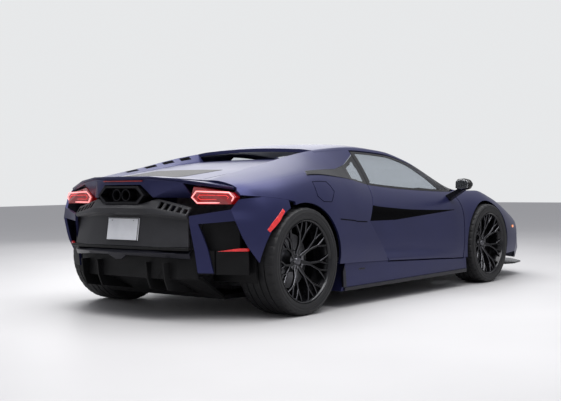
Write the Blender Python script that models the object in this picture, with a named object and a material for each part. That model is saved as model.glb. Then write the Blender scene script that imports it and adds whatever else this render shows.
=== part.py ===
"""Mid-engined two-seat supercar: body panels, doors, lids, steering and wheels, in metres.

+Z is up, the nose points to -Y and +X is the car's left. The tables measure y from a line 1.402 m ahead of the
rear axle, and the last step moves the ground point under the car's middle to the origin.
The outer skin is one surface, read from a short table of rows. Each panel is a patch of it, made as thick as its wall.
"""
import math

import bmesh
import bpy
import numpy as np
from mathutils import Matrix, Vector

# Overall size
LENGTH = 4.706
WIDTH = 1.996
HEIGHT = 1.201
WHEELBASE = 2.658
REAR_OVERHANG = 0.803
REAR_AXLE_Y = 1.402
FRONT_AXLE_Y = REAR_AXLE_Y - WHEELBASE
TAIL_Y = REAR_AXLE_Y + REAR_OVERHANG
NOSE_Y = TAIL_Y - LENGTH
MIDDLE_Y = (NOSE_Y + TAIL_Y) / 2
GROUND_CLEARANCE = 0.115

# Wheels
FRONT_TYRE_R = 0.343
FRONT_TYRE_W = 0.255
FRONT_RIM_R = 0.266
FRONT_TRACK = 1.722
REAR_TYRE_R = 0.364
REAR_TYRE_W = 0.325
REAR_RIM_R = 0.279
REAR_TRACK = 1.670
FRONT_HUB_IN = 0.061
REAR_HUB_IN = 0.035
WHEEL_STEPS = 24
SPOKES = 7
ARCH_GAP = 0.030
STEER_DEG = 30.0

# Walls and gaps
GAP = 0.006
LID_GAP = 0.010
DOOR_GAP = 0.008
SEAT_GAP = 0.0003
SKIN = 0.018
DOOR_WALL = 0.060
ROOF_WALL = 0.026
GLASS = 0.005
LID_WALL = 0.020

# Rows of the outer skin: y, x, z of the left half. Each row runs from nose to tail.
ROWS = {
    # hood and roof along the middle
    "centre": [(-2.32, 0, .482), (-2.10, 0, .560), (-1.90, 0, .622), (-1.55, 0, .712), (-1.256, 0, .772), (-1.04, 0, .812),
               (-0.70, 0, .968), (-0.42, 0, 1.092), (-0.15, 0, 1.168), (0.15, 0, HEIGHT - .003),
               (0.50, 0, 1.190), (0.85, 0, 1.150)],
    "mid": [(-2.29, .31, .474), (-2.10, .31, .548), (-1.90, .32, .612), (-1.55, .34, .700), (-1.256, .36, .760), (-1.04, .37, .802),
            (-0.70, .35, .962), (-0.42, .33, 1.084), (-0.15, .31, 1.162), (0.15, .30, 1.194),
            (0.50, .30, 1.182), (0.85, .30, 1.142)],
    # hood edge, windscreen pillar, roof edge and rear buttress ridge
    "rail": [(-2.20, .62, .490), (-1.90, .66, .600), (-1.55, .68, .700), (-1.256, .70, .765), (-1.00, .715, .800),
             (-0.70, .680, .945), (-0.42, .635, 1.062), (-0.10, .595, 1.138), (0.30, .575, 1.160),
             (0.70, .575, 1.138), (1.00, .580, 1.098), (1.40, .590, 1.020), (1.80, .605, .945), (2.00, .598, .900)],
    # front wing crest, base of the side glass and rear haunch crest
    "crest": [(-2.20, .700, .480), (-1.90, .775, .610), (-1.55, .815, .745), (-1.256, .828, .805), (-0.85, .832, .800),
              (-0.30, .830, .818), (0.40, .838, .865), (0.80, .862, .925), (1.15, .880, .950), (1.45, .880, .925),
              (1.80, .848, .880), (1.95, .775, .862), (2.10, .700, .845)],
    # widest line of the side
    "waist": [(-2.20, .820, .400), (-1.90, .905, .480), (-1.55, .965, .560), (-1.256, .985, .600), (-0.85, .950, .600),
              (-0.30, .946, .592), (0.40, .958, .592), (0.80, .975, .610), (1.15, .994, .640), (1.40, .998, .650),
              (1.62, .988, .645), (1.80, .928, .630), (1.95, .848, .615), (2.10, .765, .600)],
    "low": [(-2.20, .840, .260), (-1.90, .915, .240), (-1.55, .960, .230), (-1.256, .970, .235), (-0.85, .955, .245),
            (-0.30, .950, .270), (0.40, .960, .300), (0.80, .975, .315), (1.15, .985, .325), (1.40, .985, .335),
            (1.62, .972, .350), (1.80, .915, .375), (1.95, .840, .400), (2.10, .760, .420)],
}
ROW_ORDER = ["centre", "mid", "rail", "crest", "waist", "low"]
CENTRE, MID, RAIL, CREST, WAIST, LOW = range(6)
# How far the skin bows out between a row and the next, and which way a wall's inner face lies from each row.
BULGE = [0.004, 0.006, 0.012, 0.030, 0.012]
INWARD_DEG = [0, 4, 30, 50, 88, 90]


def row_at(name, y):
    """x and z of a row at y, by a shape-keeping cubic through the row's points."""
    pts = ROWS[name]
    ys = [p[0] for p in pts]
    y = min(max(y, ys[0]), ys[-1])
    k = max(i for i in range(len(ys) - 1) if ys[i] <= y)
    h = ys[k + 1] - ys[k]
    t = (y - ys[k]) / h
    out = []
    for c in (1, 2):
        d = [(pts[i + 1][c] - pts[i][c]) / (ys[i + 1] - ys[i]) for i in range(len(pts) - 1)]
        m = []
        for i in (k, k + 1):
            if i == 0:
                m.append(d[0])
            elif i == len(pts) - 1:
                m.append(d[-1])
            elif d[i - 1] * d[i] <= 0:
                m.append(0.0)
            else:
                m.append(2 * d[i - 1] * d[i] / (d[i - 1] + d[i]))
        a, b = pts[k][c], pts[k + 1][c]
        out.append((2 * t**3 - 3 * t**2 + 1) * a + (t**3 - 2 * t**2 + t) * h * m[0]
                   + (-2 * t**3 + 3 * t**2) * b + (t**3 - t**2) * h * m[1])
    return out


def skin(r, y):
    """Point of the outer skin at row number r (0 to 5, negative on the right half) and length y."""
    side = -1 if r < 0 else 1
    a = abs(r)
    k = min(int(a), len(ROW_ORDER) - 2)
    t = a - k
    x0, z0 = row_at(ROW_ORDER[k], y)
    x1, z1 = row_at(ROW_ORDER[k + 1], y)
    dx, dz = x1 - x0, z1 - z0
    span = math.hypot(dx, dz) or 1
    bow = BULGE[k] * 4 * t * (1 - t)
    return Vector((side * (x0 + dx * t - dz / span * bow), y, z0 + dz * t + dx / span * bow))


def inward(r):
    """Unit vector from the outer skin to a wall's inner face at row number r."""
    a = abs(r)
    k = min(int(a), len(ROW_ORDER) - 2)
    deg = INWARD_DEG[k] + (INWARD_DEG[k + 1] - INWARD_DEG[k]) * (a - k)
    side = -1 if r < 0 else 1
    return Vector((-side * math.sin(math.radians(deg)), 0, -math.cos(math.radians(deg))))


def seam(points):
    """Length y as a function of row number, straight between the given (row, y) pairs."""
    rs = [p[0] for p in points]
    ys = [p[1] for p in points]
    return lambda r: float(np.interp(abs(r), rs, ys))


# Seams between panels: row number and y
COWL = seam([(CENTRE, -1.070), (MID, -1.050), (RAIL, -1.000), (CREST, -0.900)])
DOOR_FRONT = seam([(RAIL, -0.790), (CREST, -0.800), (3.4, -0.830), (WAIST, -0.845), (LOW, -0.822)])
DOOR_REAR = seam([(CREST, 0.445), (3.5, 0.505), (WAIST, 0.600), (LOW, 0.345)])
GLASS_FRONT = seam([(RAIL, -0.768), (2.5, -0.782), (CREST, -0.796)])
GLASS_REAR = seam([(RAIL, 0.340), (CREST, 0.445)])
WING_FRONT = seam([(RAIL, -2.080), (CREST, -2.060), (WAIST, -1.960), (LOW, -1.860)])
HEADLAMP_REAR = seam([(1.8, -1.800), (RAIL, -1.800), (2.6, -1.800), (CREST, -1.900), (3.25, -2.010), (3.26, -2.034),
                      (WAIST, -1.960), (LOW, -1.860)])
LID_FRONT = seam([(CENTRE, -2.300), (MID, -2.265), (RAIL, -2.080)])
TAIL_SEAM = seam([(1.8, 1.967), (RAIL, 1.942), (2.6, 1.911), (CREST, 1.894), (3.25, 1.905), (LOW, 1.865)])

# Rear deck between the buttresses: y and z along the middle, and the half width and z of the lid's edge
DECK = [(0.80, 1.072, .500, 1.066), (1.10, 1.040, .500, 1.036), (1.50, .990, .510, .980),
        (1.90, .950, .530, .922), (2.20, .940, .545, .900)]
# The tail panel from the middle outwards: x, then y and z of its front edge, its lip, the lip's underside and its foot
TAIL_COLUMNS = [(0, (2.070, .937), (2.150, .945), (2.132, .919), (2.140, .888)),
                (.175, (2.070, .937), (2.150, .944), (2.132, .918), (2.140, .888)),
                (.27, (2.070, .935), (2.150, .943), (2.130, .917), (2.117, .803)),
                (.485, (1.9946, .915), (2.077, .921), (2.057, .895), (1.966, .798)),
                (.62, (1.9356, .903), (2.005, .899), (1.985, .875), (1.975, .868)),
                (.79, (1.8966, .869), (1.917, .868), (1.905, .850), (1.902, .844))]
SILL_Z = .330
FLOOR_WALL = .030
FLOOR_TOP = GROUND_CLEARANCE + FLOOR_WALL + SEAT_GAP
MIRROR_X = 1.123

COLOURS = {
    "paint": ((.030, .034, .110), .42, .35),
    "gloss_black": ((.008, .008, .010), .12, 0),
    "black_plastic": ((.020, .020, .022), .55, 0),
    "grey_plastic": ((.060, .060, .066), .50, 0),
    "glass": ((.05, .06, .06), .05, 0),
    "lamp_red": ((.60, .01, .02), .15, 0),
    "paint_dark": ((.016, .018, .050), .45, .30),
    "lamp_clear": ((.80, .82, .85), .08, 0),
    "rubber": ((.015, .015, .016), .80, 0),
    "alloy_black": ((.012, .012, .014), .22, .8),
    "metal": ((.30, .30, .31), .40, 1),
    "leather": ((.020, .020, .022), .60, 0),
    "plate": ((.75, .76, .78), .40, 0),
    "mirror_glass": ((.60, .62, .64), .03, 1),
}


def material(name):
    found = bpy.data.materials.get(name)
    if found:
        return found
    colour, rough, metallic = COLOURS[name]
    made = bpy.data.materials.new(name)
    made.use_nodes = True
    shader = made.node_tree.nodes["Principled BSDF"]
    shader.inputs["Base Color"].default_value = (*colour, 1)
    shader.inputs["Roughness"].default_value = rough
    shader.inputs["Metallic"].default_value = metallic
    return made


def collection(name, hidden=False):
    made = bpy.data.collections.new(name)
    bpy.context.scene.collection.children.link(made)
    made.hide_render = hidden
    return made


def clear_scene():
    for old in list(bpy.data.objects):
        bpy.data.objects.remove(old)


clear_scene()
CAR = collection("supercar")
CUTTERS = collection("cutters", hidden=True)


def add_object(name, bm, colour, home=None):
    """A named object of the car from a bmesh, with outward faces and its material."""
    bmesh.ops.recalc_face_normals(bm, faces=bm.faces)
    if bm.calc_volume(signed=True) < 0:
        bmesh.ops.reverse_faces(bm, faces=bm.faces)
    mesh = bpy.data.meshes.new(name)
    bm.to_mesh(mesh)
    bm.free()
    obj = bpy.data.objects.new(name, mesh)
    (home or CAR).objects.link(obj)
    if colour:
        mesh.materials.append(material(colour))
    if home is CUTTERS:
        obj.hide_render = True
        obj.display_type = "WIRE"
    return obj


def thick_grid(bm, outer, inner, skip=None):
    """Adds a closed wall between two like grids of points. skip(i, j) leaves a cell open."""
    rows, cols = len(outer), len(outer[0])
    top = [[bm.verts.new(p) for p in line] for line in outer]
    under = [[bm.verts.new(p) for p in line] for line in inner]
    here = {(i, j) for i in range(rows - 1) for j in range(cols - 1) if not (skip and skip(i, j))}
    for i, j in here:
        bm.faces.new((top[i][j], top[i + 1][j], top[i + 1][j + 1], top[i][j + 1]))
        bm.faces.new((under[i][j], under[i][j + 1], under[i + 1][j + 1], under[i + 1][j]))
        for (a, b), near in (((( i, j), (i, j + 1)), (i - 1, j)), (((i + 1, j + 1), (i + 1, j)), (i + 1, j)),
                             (((i + 1, j), (i, j)), (i, j - 1)), (((i, j + 1), (i + 1, j + 1)), (i, j + 1))):
            if near not in here:
                bm.faces.new((top[a[0]][a[1]], top[b[0]][b[1]], under[b[0]][b[1]], under[a[0]][a[1]]))
    loose = [v for v in bm.verts if not v.link_faces]
    bmesh.ops.delete(bm, geom=loose, context="VERTS")


def spread(values, steps):
    """Numbers from the first of values to the last, with each gap cut into its number of steps."""
    out = [values[0]]
    for a, b, n in zip(values, values[1:], steps):
        out += [a + (b - a) * (i + 1) / n for i in range(n)]
    return out


def panel(name, colour, rs, front, rear, cols, wall, shape=None, skip=None, ys=None, bevel=0):
    """A wall of the outer skin between two seams, over the row numbers rs, made cols cells long.

    bevel makes the inner face that much shorter at the rear, so that a hinged panel swings clear.
    """
    outer, inner = [], []
    for r in rs:
        y0, y1 = front(r), rear(r)
        at = [y0 + (y1 - y0) * t for t in (ys or [j / cols for j in range(cols + 1)])]
        line = [skin(r, y) if shape is None else shape(r, y) for y in at]
        outer.append(line)
        inner.append([p + inward(r) * wall for p in line])
        inner[-1][-1].y -= bevel
    bm = bmesh.new()
    thick_grid(bm, outer, inner, skip)
    return add_object(name, bm, colour)


def offset(line, by):
    """A seam moved along the car by a distance."""
    return lambda r: line(r) + by


def mirrored(rs, side):
    return rs if side > 0 else [-r for r in rs]


def cylinder(name, axis, centre, radius, length, steps, colour=None, home=None, top_radius=None):
    bm = bmesh.new()
    bmesh.ops.create_cone(bm, cap_ends=True, segments=steps, radius1=radius,
                          radius2=radius if top_radius is None else top_radius, depth=length)
    turn = {"x": Matrix.Rotation(math.pi / 2, 4, "Y"), "y": Matrix.Rotation(math.pi / 2, 4, "X"),
            "z": Matrix.Identity(4)}[axis]
    bmesh.ops.transform(bm, matrix=Matrix.Translation(centre) @ turn, verts=bm.verts)
    return add_object(name, bm, colour, home)


def add_box(bm, low, high):
    """Adds a box between two corners to a bmesh and returns its vertices."""
    made = bmesh.ops.create_cube(bm, size=1)["verts"]
    for v in made:
        v.co = Vector([low[i] if v.co[i] < 0 else high[i] for i in range(3)])
    return made


def box(name, low, high, colour=None, home=None):
    bm = bmesh.new()
    add_box(bm, low, high)
    return add_object(name, bm, colour, home)


def boolean(obj, other, operation="DIFFERENCE"):
    mod = obj.modifiers.new(operation.lower(), "BOOLEAN")
    mod.operation = operation
    mod.object = other
    mod.solver = "MANIFOLD"
    return mod


def use_up(other):
    """Turns an object that a Boolean has joined into a hidden helper."""
    CAR.objects.unlink(other)
    CUTTERS.objects.link(other)
    other.hide_render = True
    other.display_type = "WIRE"


def prism(name, outline, axis, low, high, colour=None, home=None):
    """A flat outline of 2D points pushed along an axis. For axis x the outline holds (y, z), for z it holds (x, y)."""
    place = {"x": lambda a, b, c: (c, a, b), "y": lambda a, b, c: (a, c, b), "z": lambda a, b, c: (a, b, c)}[axis]
    bm = bmesh.new()
    bottom = [bm.verts.new(place(a, b, low)) for a, b in outline]
    top = [bm.verts.new(place(a, b, high)) for a, b in outline]
    bm.faces.new(bottom)
    bm.faces.new(top[::-1])
    n = len(outline)
    for i in range(n):
        bm.faces.new((bottom[i], top[i], top[(i + 1) % n], bottom[(i + 1) % n]))
    bm.normal_update()
    bmesh.ops.triangulate(bm, faces=bm.faces)
    return add_object(name, bm, colour, home)


def turned(name, profile, colour, centre, side, steps=WHEEL_STEPS):
    """A ring turned about the car's X axis from a closed profile of (radius, x) pairs, x positive outboard."""
    bm = bmesh.new()
    rings = []
    for k in range(steps):
        a = 2 * math.pi * k / steps
        rings.append([bm.verts.new((centre[0] + side * x, centre[1] + r * math.cos(a), centre[2] + r * math.sin(a)))
                      for r, x in profile])
    n = len(profile)
    for k in range(steps):
        here, there = rings[k], rings[(k + 1) % steps]
        for i in range(n):
            bm.faces.new((here[i], here[(i + 1) % n], there[(i + 1) % n], there[i]))
    return add_object(name, bm, colour)


SIDES = (("left", 1), ("right", -1))
AXLES = {"front": (FRONT_AXLE_Y, FRONT_TYRE_R, FRONT_TYRE_W, FRONT_RIM_R, FRONT_TRACK / 2),
         "rear": (REAR_AXLE_Y, REAR_TYRE_R, REAR_TYRE_W, REAR_RIM_R, REAR_TRACK / 2)}
# Distance from the middle of the car to the face that each wheel turns against
KNUCKLE_FACE = {"front": FRONT_TRACK / 2 - FRONT_HUB_IN, "rear": REAR_TRACK / 2 - REAR_HUB_IN}


def tail_front(x):
    """Length y of the tail panel's front edge."""
    return float(np.interp(abs(x), [c[0] for c in TAIL_COLUMNS], [c[1][0] for c in TAIL_COLUMNS]))


def deck(r, y):
    """Point of the engine lid's skin: row 0 is the middle and row 1.8 its edge at the buttress."""
    ys = [p[0] for p in DECK]
    z_mid, half, z_edge = (float(np.interp(y, ys, [p[c] for p in DECK])) for c in (1, 2, 3))
    t = abs(r) / LID_EDGE
    return Vector((math.copysign(half * t, r), y, z_mid + (z_edge - z_mid) * t * t))


def quarter_skin(r, y):
    """The quarter's skin. Inside row 2 it is the buttress's inner wall, down to the engine lid."""
    if abs(r) >= RAIL:
        return skin(quarter_row(r, y), y)
    foot = deck(math.copysign(LID_EDGE, r), y)
    foot.x += math.copysign(LID_GAP, r)
    ridge = skin(math.copysign(RAIL, r), y)
    t = (abs(r) - BUTTRESS_FOOT) / (RAIL - BUTTRESS_FOOT)
    return foot.lerp(ridge, t)


# Share of a row number that makes SEAT_GAP between rows 2 and 3
ROW_SEAT = .0009
# Where the wing's upper rear edge runs from the cowl down to the door
TRIM_FRONT = seam([(RAIL, -1.000), (2.5, -0.950), (CREST, -0.804)])
LID_EDGE = 1.8
BUTTRESS_FOOT = 1.8
ROOF_EDGE = 2.08
# Shares of the quarter's length where its cross lines lie. The roof ends at the fourth.
QUARTER_LINES = [0, .09, .18, .28, .37, .46, .55, .64, .71, .78, .85, .92, 1]
ROOF_END_LINE = 3
WING_ROWS = [1.89, 2, 2.5, 3, 3.25, 3.6, 4, 4.5, 5]
HEADLAMP_ROWS = 5
BUMPER_START_LINE = 8
# The edges that the quarter's rows follow: lengths y, and the row number at each
BUMPER_LINE = ((1.50, 1.91), (3.60, 3.22))
TRIM_LINE = ((.36, .60, .784, 1.05, 1.225, 1.60), (2.20, 2.53, 2.715, 2.806, 2.835, 2.72))
BUMPER_ROW = 3.6
TRIM_ROW = 2.7
TRIM_START_LINE = 2
TRIM_END_LINE = 6
QUARTER_ROWS = [1.8, 2, 2.09, 2.4, TRIM_ROW, 2.85, 3, 3.3, BUMPER_ROW, 4, 4.33, 4.67, 5]
DOOR_ROWS = [3, 3.3, 3.6, 3.95, 4.35, 4.75, 4.95, 5]
# The channel along the door: y, the rows where its upper slope starts and ends, and its depth
CHANNEL = [(-.72, 3.78, 3.97, 0), (-.03, 3.71, 3.95, .024), (.55, 3.60, 3.95, .046)]
CHANNEL_ROWS = (3.6, 3.95)
CHANNEL_END = (4.75, 4.95)
# Shares of the way from cowl to roof rear where the roof frame has its cross lines. The windscreen ends at the sixth.
ROOF_LINES = [0, .03, .16, .24, .32, .40, .47, .60, .74, .88, 1.0]
SCREEN_END_LINE = 6


def arch_cutters():
    """Cylinders that open each wheel arch."""
    made = {}
    for axle, (y, tyre_r, _, _, half_track) in AXLES.items():
        for side_name, side in SIDES:
            made[axle, side_name] = cylinder(f"arch_cut_{axle}_{side_name}", "x",
                                             (side * (half_track + .05), y, tyre_r), tyre_r + ARCH_GAP, .62, 48,
                                             home=CUTTERS)
    return made


def wing_front(r):
    """The front wing starts behind the headlamp above it and at the bumper beside it."""
    return (HEADLAMP_REAR(r) if abs(r) <= WING_ROWS[HEADLAMP_ROWS - 1] else WING_FRONT(r)) + SEAT_GAP


def wing_rear(r):
    """The front wing ends at the cowl above the crest and at the door below it."""
    return COWL(r) - SEAT_GAP if abs(r) < CREST else DOOR_FRONT(r) - DOOR_GAP / 2


def quarter_front(r):
    """The quarter starts at the side glass above the crest and at the door below it."""
    if abs(r) < CREST:
        return GLASS_REAR(max(abs(quarter_row(r, GLASS_REAR(RAIL))), RAIL)) + DOOR_GAP / 2
    return DOOR_REAR(r) + DOOR_GAP / 2


def quarter_row(r, y):
    """Row number of the body where the quarter's own row r lies: its rows follow the window trim and the bumper."""
    bumper = np.interp(y, *BUMPER_LINE)
    trim = np.interp(y, *TRIM_LINE)
    own = (RAIL, ROOF_EDGE, TRIM_ROW, CREST, BUMPER_ROW, LOW)
    return math.copysign(float(np.interp(abs(r), own, (RAIL, ROOF_EDGE, trim, CREST, bumper, LOW))), r)


def door_row(r, y):
    """Row number of the body where the door's own row r lies: two of its rows follow the channel's upper edge."""
    start, full = (float(np.interp(y, [p[0] for p in CHANNEL], [p[c] for p in CHANNEL])) for c in (1, 2))
    own = (CREST, *CHANNEL_ROWS, CHANNEL_END[0], LOW)
    return math.copysign(float(np.interp(abs(r), own, (CREST, start, full, CHANNEL_END[0], LOW))), r)


def door_skin(r, y):
    """The door's skin, with the channel that runs into the intake behind it."""
    depth = float(np.interp(y, [p[0] for p in CHANNEL], [p[3] for p in CHANNEL]))
    point = skin(door_row(r, y), y)
    point.x -= math.copysign(depth * float(np.interp(abs(r), (*CHANNEL_ROWS, *CHANNEL_END), (0, 1, 1, 0))), r)
    return point


def trim_rear(line):
    """The quarter's own cross line with this number, less a seam gap, as the rear edge of the glass or trim."""
    share = QUARTER_LINES[line]
    return lambda r: quarter_front(r) + (TAIL_SEAM(r) - SEAT_GAP - quarter_front(r)) * share - SEAT_GAP


def quarter_columns(r):
    """Lengths y of the quarter's cross lines at row number r."""
    y0, y1 = quarter_front(r), TAIL_SEAM(r) - SEAT_GAP
    return [y0 + (y1 - y0) * share for share in QUARTER_LINES]


def roof_rear(r):
    """The roof ends at a cross line of the quarter, so that the two meet with a gap."""
    y0 = quarter_front(RAIL)
    y1 = TAIL_SEAM(RAIL) - SEAT_GAP
    return y0 + (y1 - y0) * QUARTER_LINES[ROOF_END_LINE] - SEAT_GAP


def screen_line(share, shift):
    """The windscreen's edge at a share of the roof frame's length."""
    return lambda r: COWL(r) + SEAT_GAP + (roof_rear(r) - COWL(r) - SEAT_GAP) * share + shift


def build_skin():
    """Wings, doors, lids, roof and quarters."""
    arches = arch_cutters()
    half_gap = DOOR_GAP / 2
    lid_half = LID_GAP / 2
    lid_rows = spread([-1.86, -1, 0, 1, 1.86], [2, 2, 2, 2])
    panel("front_lid", "paint", lid_rows, offset(LID_FRONT, lid_half + .004), offset(COWL, -lid_half), 9, LID_WALL)
    for side_name, side in SIDES:
        wing = panel(f"front_wing_{side_name}", "paint", mirrored(WING_ROWS, side), wing_front, wing_rear, 10, SKIN)
        panel(f"headlamp_{side_name}", "lamp_clear", mirrored(WING_ROWS[:HEADLAMP_ROWS], side),
              offset(WING_FRONT, SEAT_GAP), offset(HEADLAMP_REAR, -SEAT_GAP), 3, SKIN)
        boolean(wing, arches["front", side_name])
        panel(f"door_{side_name}", "paint", mirrored(DOOR_ROWS, side),
              lambda r: DOOR_FRONT(door_row(r, DOOR_FRONT(r))) + half_gap,
              lambda r: DOOR_REAR(r) - half_gap, 10, DOOR_WALL, shape=door_skin, bevel=.012)
        panel(f"door_glass_{side_name}", "glass", mirrored([2.12, 2.4, 2.7, CREST - ROW_SEAT], side),
              GLASS_FRONT, offset(GLASS_REAR, -half_gap), 10, GLASS)
        lines = [share / QUARTER_LINES[TRIM_START_LINE] for share in QUARTER_LINES[:TRIM_START_LINE + 1]]
        panel(f"quarter_glass_{side_name}", "glass", mirrored([TRIM_ROW + .004, 2.85, CREST - ROW_SEAT], side),
              quarter_front, trim_rear(TRIM_START_LINE), 0, GLASS, shape=quarter_skin, ys=lines)
        start, end = QUARTER_LINES[TRIM_START_LINE], QUARTER_LINES[TRIM_END_LINE]
        lines = [(share - start) / (end - start) for share in QUARTER_LINES[TRIM_START_LINE:TRIM_END_LINE + 1]]
        panel(f"window_trim_{side_name}", "gloss_black", mirrored([TRIM_ROW + .004, 2.85, CREST - ROW_SEAT], side),
              offset(trim_rear(TRIM_START_LINE), 2 * SEAT_GAP), trim_rear(TRIM_END_LINE), 0, SKIN,
              shape=quarter_skin, ys=lines)
        panel(f"pillar_trim_{side_name}", "gloss_black", mirrored([ROOF_EDGE + .015, 2.5, CREST - ROW_SEAT], side),
              offset(TRIM_FRONT, GAP / 2), offset(GLASS_FRONT, -GAP / 2), 3, .012)
        quarter = panel(f"rear_quarter_{side_name}", "paint", mirrored(QUARTER_ROWS, side), quarter_front,
                        offset(TAIL_SEAM, -SEAT_GAP), 0, SKIN, shape=quarter_skin, ys=QUARTER_LINES,
                        skip=lambda i, j: (i < 2 and j < ROOF_END_LINE) or (4 <= i < 6 and j < TRIM_END_LINE)
                        or (i >= 8 and j >= BUMPER_START_LINE))
        boolean(quarter, arches["rear", side_name])
    roof_rows = spread([-ROOF_EDGE, -1.9, -1, 0, 1, 1.9, ROOF_EDGE], [1, 2, 3, 3, 2, 1])
    panel("roof", "paint", roof_rows, offset(COWL, SEAT_GAP), roof_rear, 0, ROOF_WALL, ys=ROOF_LINES,
          skip=lambda i, j: 1 <= i <= 10 and 1 <= j < SCREEN_END_LINE)
    screen_end = ROOF_LINES[SCREEN_END_LINE]
    start = ROOF_LINES[1]
    lines = [(share - start) / (screen_end - start) for share in ROOF_LINES[1:SCREEN_END_LINE + 1]]
    panel("windscreen", "glass", spread([-1.895, -1, 0, 1, 1.895], [3, 3, 3, 3]), screen_line(start, SEAT_GAP * 2),
          screen_line(screen_end, -SEAT_GAP * 2), 0, GLASS, ys=lines)
    lid_edge = LID_EDGE - .001
    panel("engine_lid", "paint", spread([-lid_edge, 0, lid_edge], [4, 4]), lambda r: roof_rear(r) + LID_GAP,
          lambda r: tail_front(deck(r, 2.05).x) - LID_GAP, 8, LID_WALL, shape=deck)


def grid_from(name, colour, columns, wall, depth, skip=None):
    """A closed wall from columns of points. depth(i, j) is the way from its outer face to its inner one."""
    bm = bmesh.new()
    outer = [[Vector(p) for p in line] for line in columns]
    inner = [[p + Vector(depth(i, j)).normalized() * wall for j, p in enumerate(line)] for i, line in enumerate(outer)]
    thick_grid(bm, outer, inner, skip)
    return add_object(name, bm, colour)


def build_nose():
    """Front bumper, its splitter and the lamps."""
    half = [[(0, -2.310, .476), (0, -2.430, .430), (0, -2.470, .345), (0, -2.480, .235), (0, -2.440, .160)],
            [(.32, -2.272, .470), (.32, -2.390, .425), (.32, -2.430, .345), (.32, -2.440, .235), (.32, -2.400, .160)],
            [(.62, -2.118, .474), (.62, -2.235, .425), (.62, -2.280, .340), (.62, -2.290, .250), (.62, -2.250, .160)],
            [(.69, -2.088, .482), (.77, -2.130, .420), (.80, -2.150, .330), (.81, -2.155, .250), (.80, -2.120, .160)]]
    edge_rows = (3, 3.5, 4, 4.5, 5)
    half.append([tuple(skin(r, WING_FRONT(r) - SEAT_GAP)) for r in edge_rows])
    left = [[(-x, y, z) for x, y, z in line] for line in half[:0:-1]]
    last = len(half) - 1

    def depth(i, j):
        side = -1 if i < last else 1
        if i in (0, 2 * last):
            return inward(side * edge_rows[j])
        return inward(side * 1.5) if j == 0 else (0, 1, 0)

    grid_from("front_bumper", "paint", left + half, .018, depth,
              skip=lambda i, j: (i in (1, 6) and j in (1, 2)) or (i in (3, 4) and j == 2))
    outline = [(-.86, -1.80), (-.90, -1.92), (-.86, -2.12), (-.66, -2.33), (-.34, -2.46), (0, NOSE_Y),
               (.34, -2.46), (.66, -2.33), (.86, -2.12), (.90, -1.92), (.86, -1.80)]
    prism("front_splitter", outline, "z", .115, .130, "gloss_black")
    half = [[(x, y, .265), (x, y, .390)] for x, y in ((0, -2.4305), (.32, -2.387), (.62, -2.2335), (.77, -2.117))]
    grid_from("front_grille", "black_plastic", both_sides(half), .008, lambda i, j: (0, 1, 0))


def both_sides(half):
    """A left half's columns, from the middle outwards, with their mirror images before them."""
    return [[(-x, y, z) for x, y, z in line] for line in half[:0:-1]] + half


def back(i, j):
    return (0, -1, 0)


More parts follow.
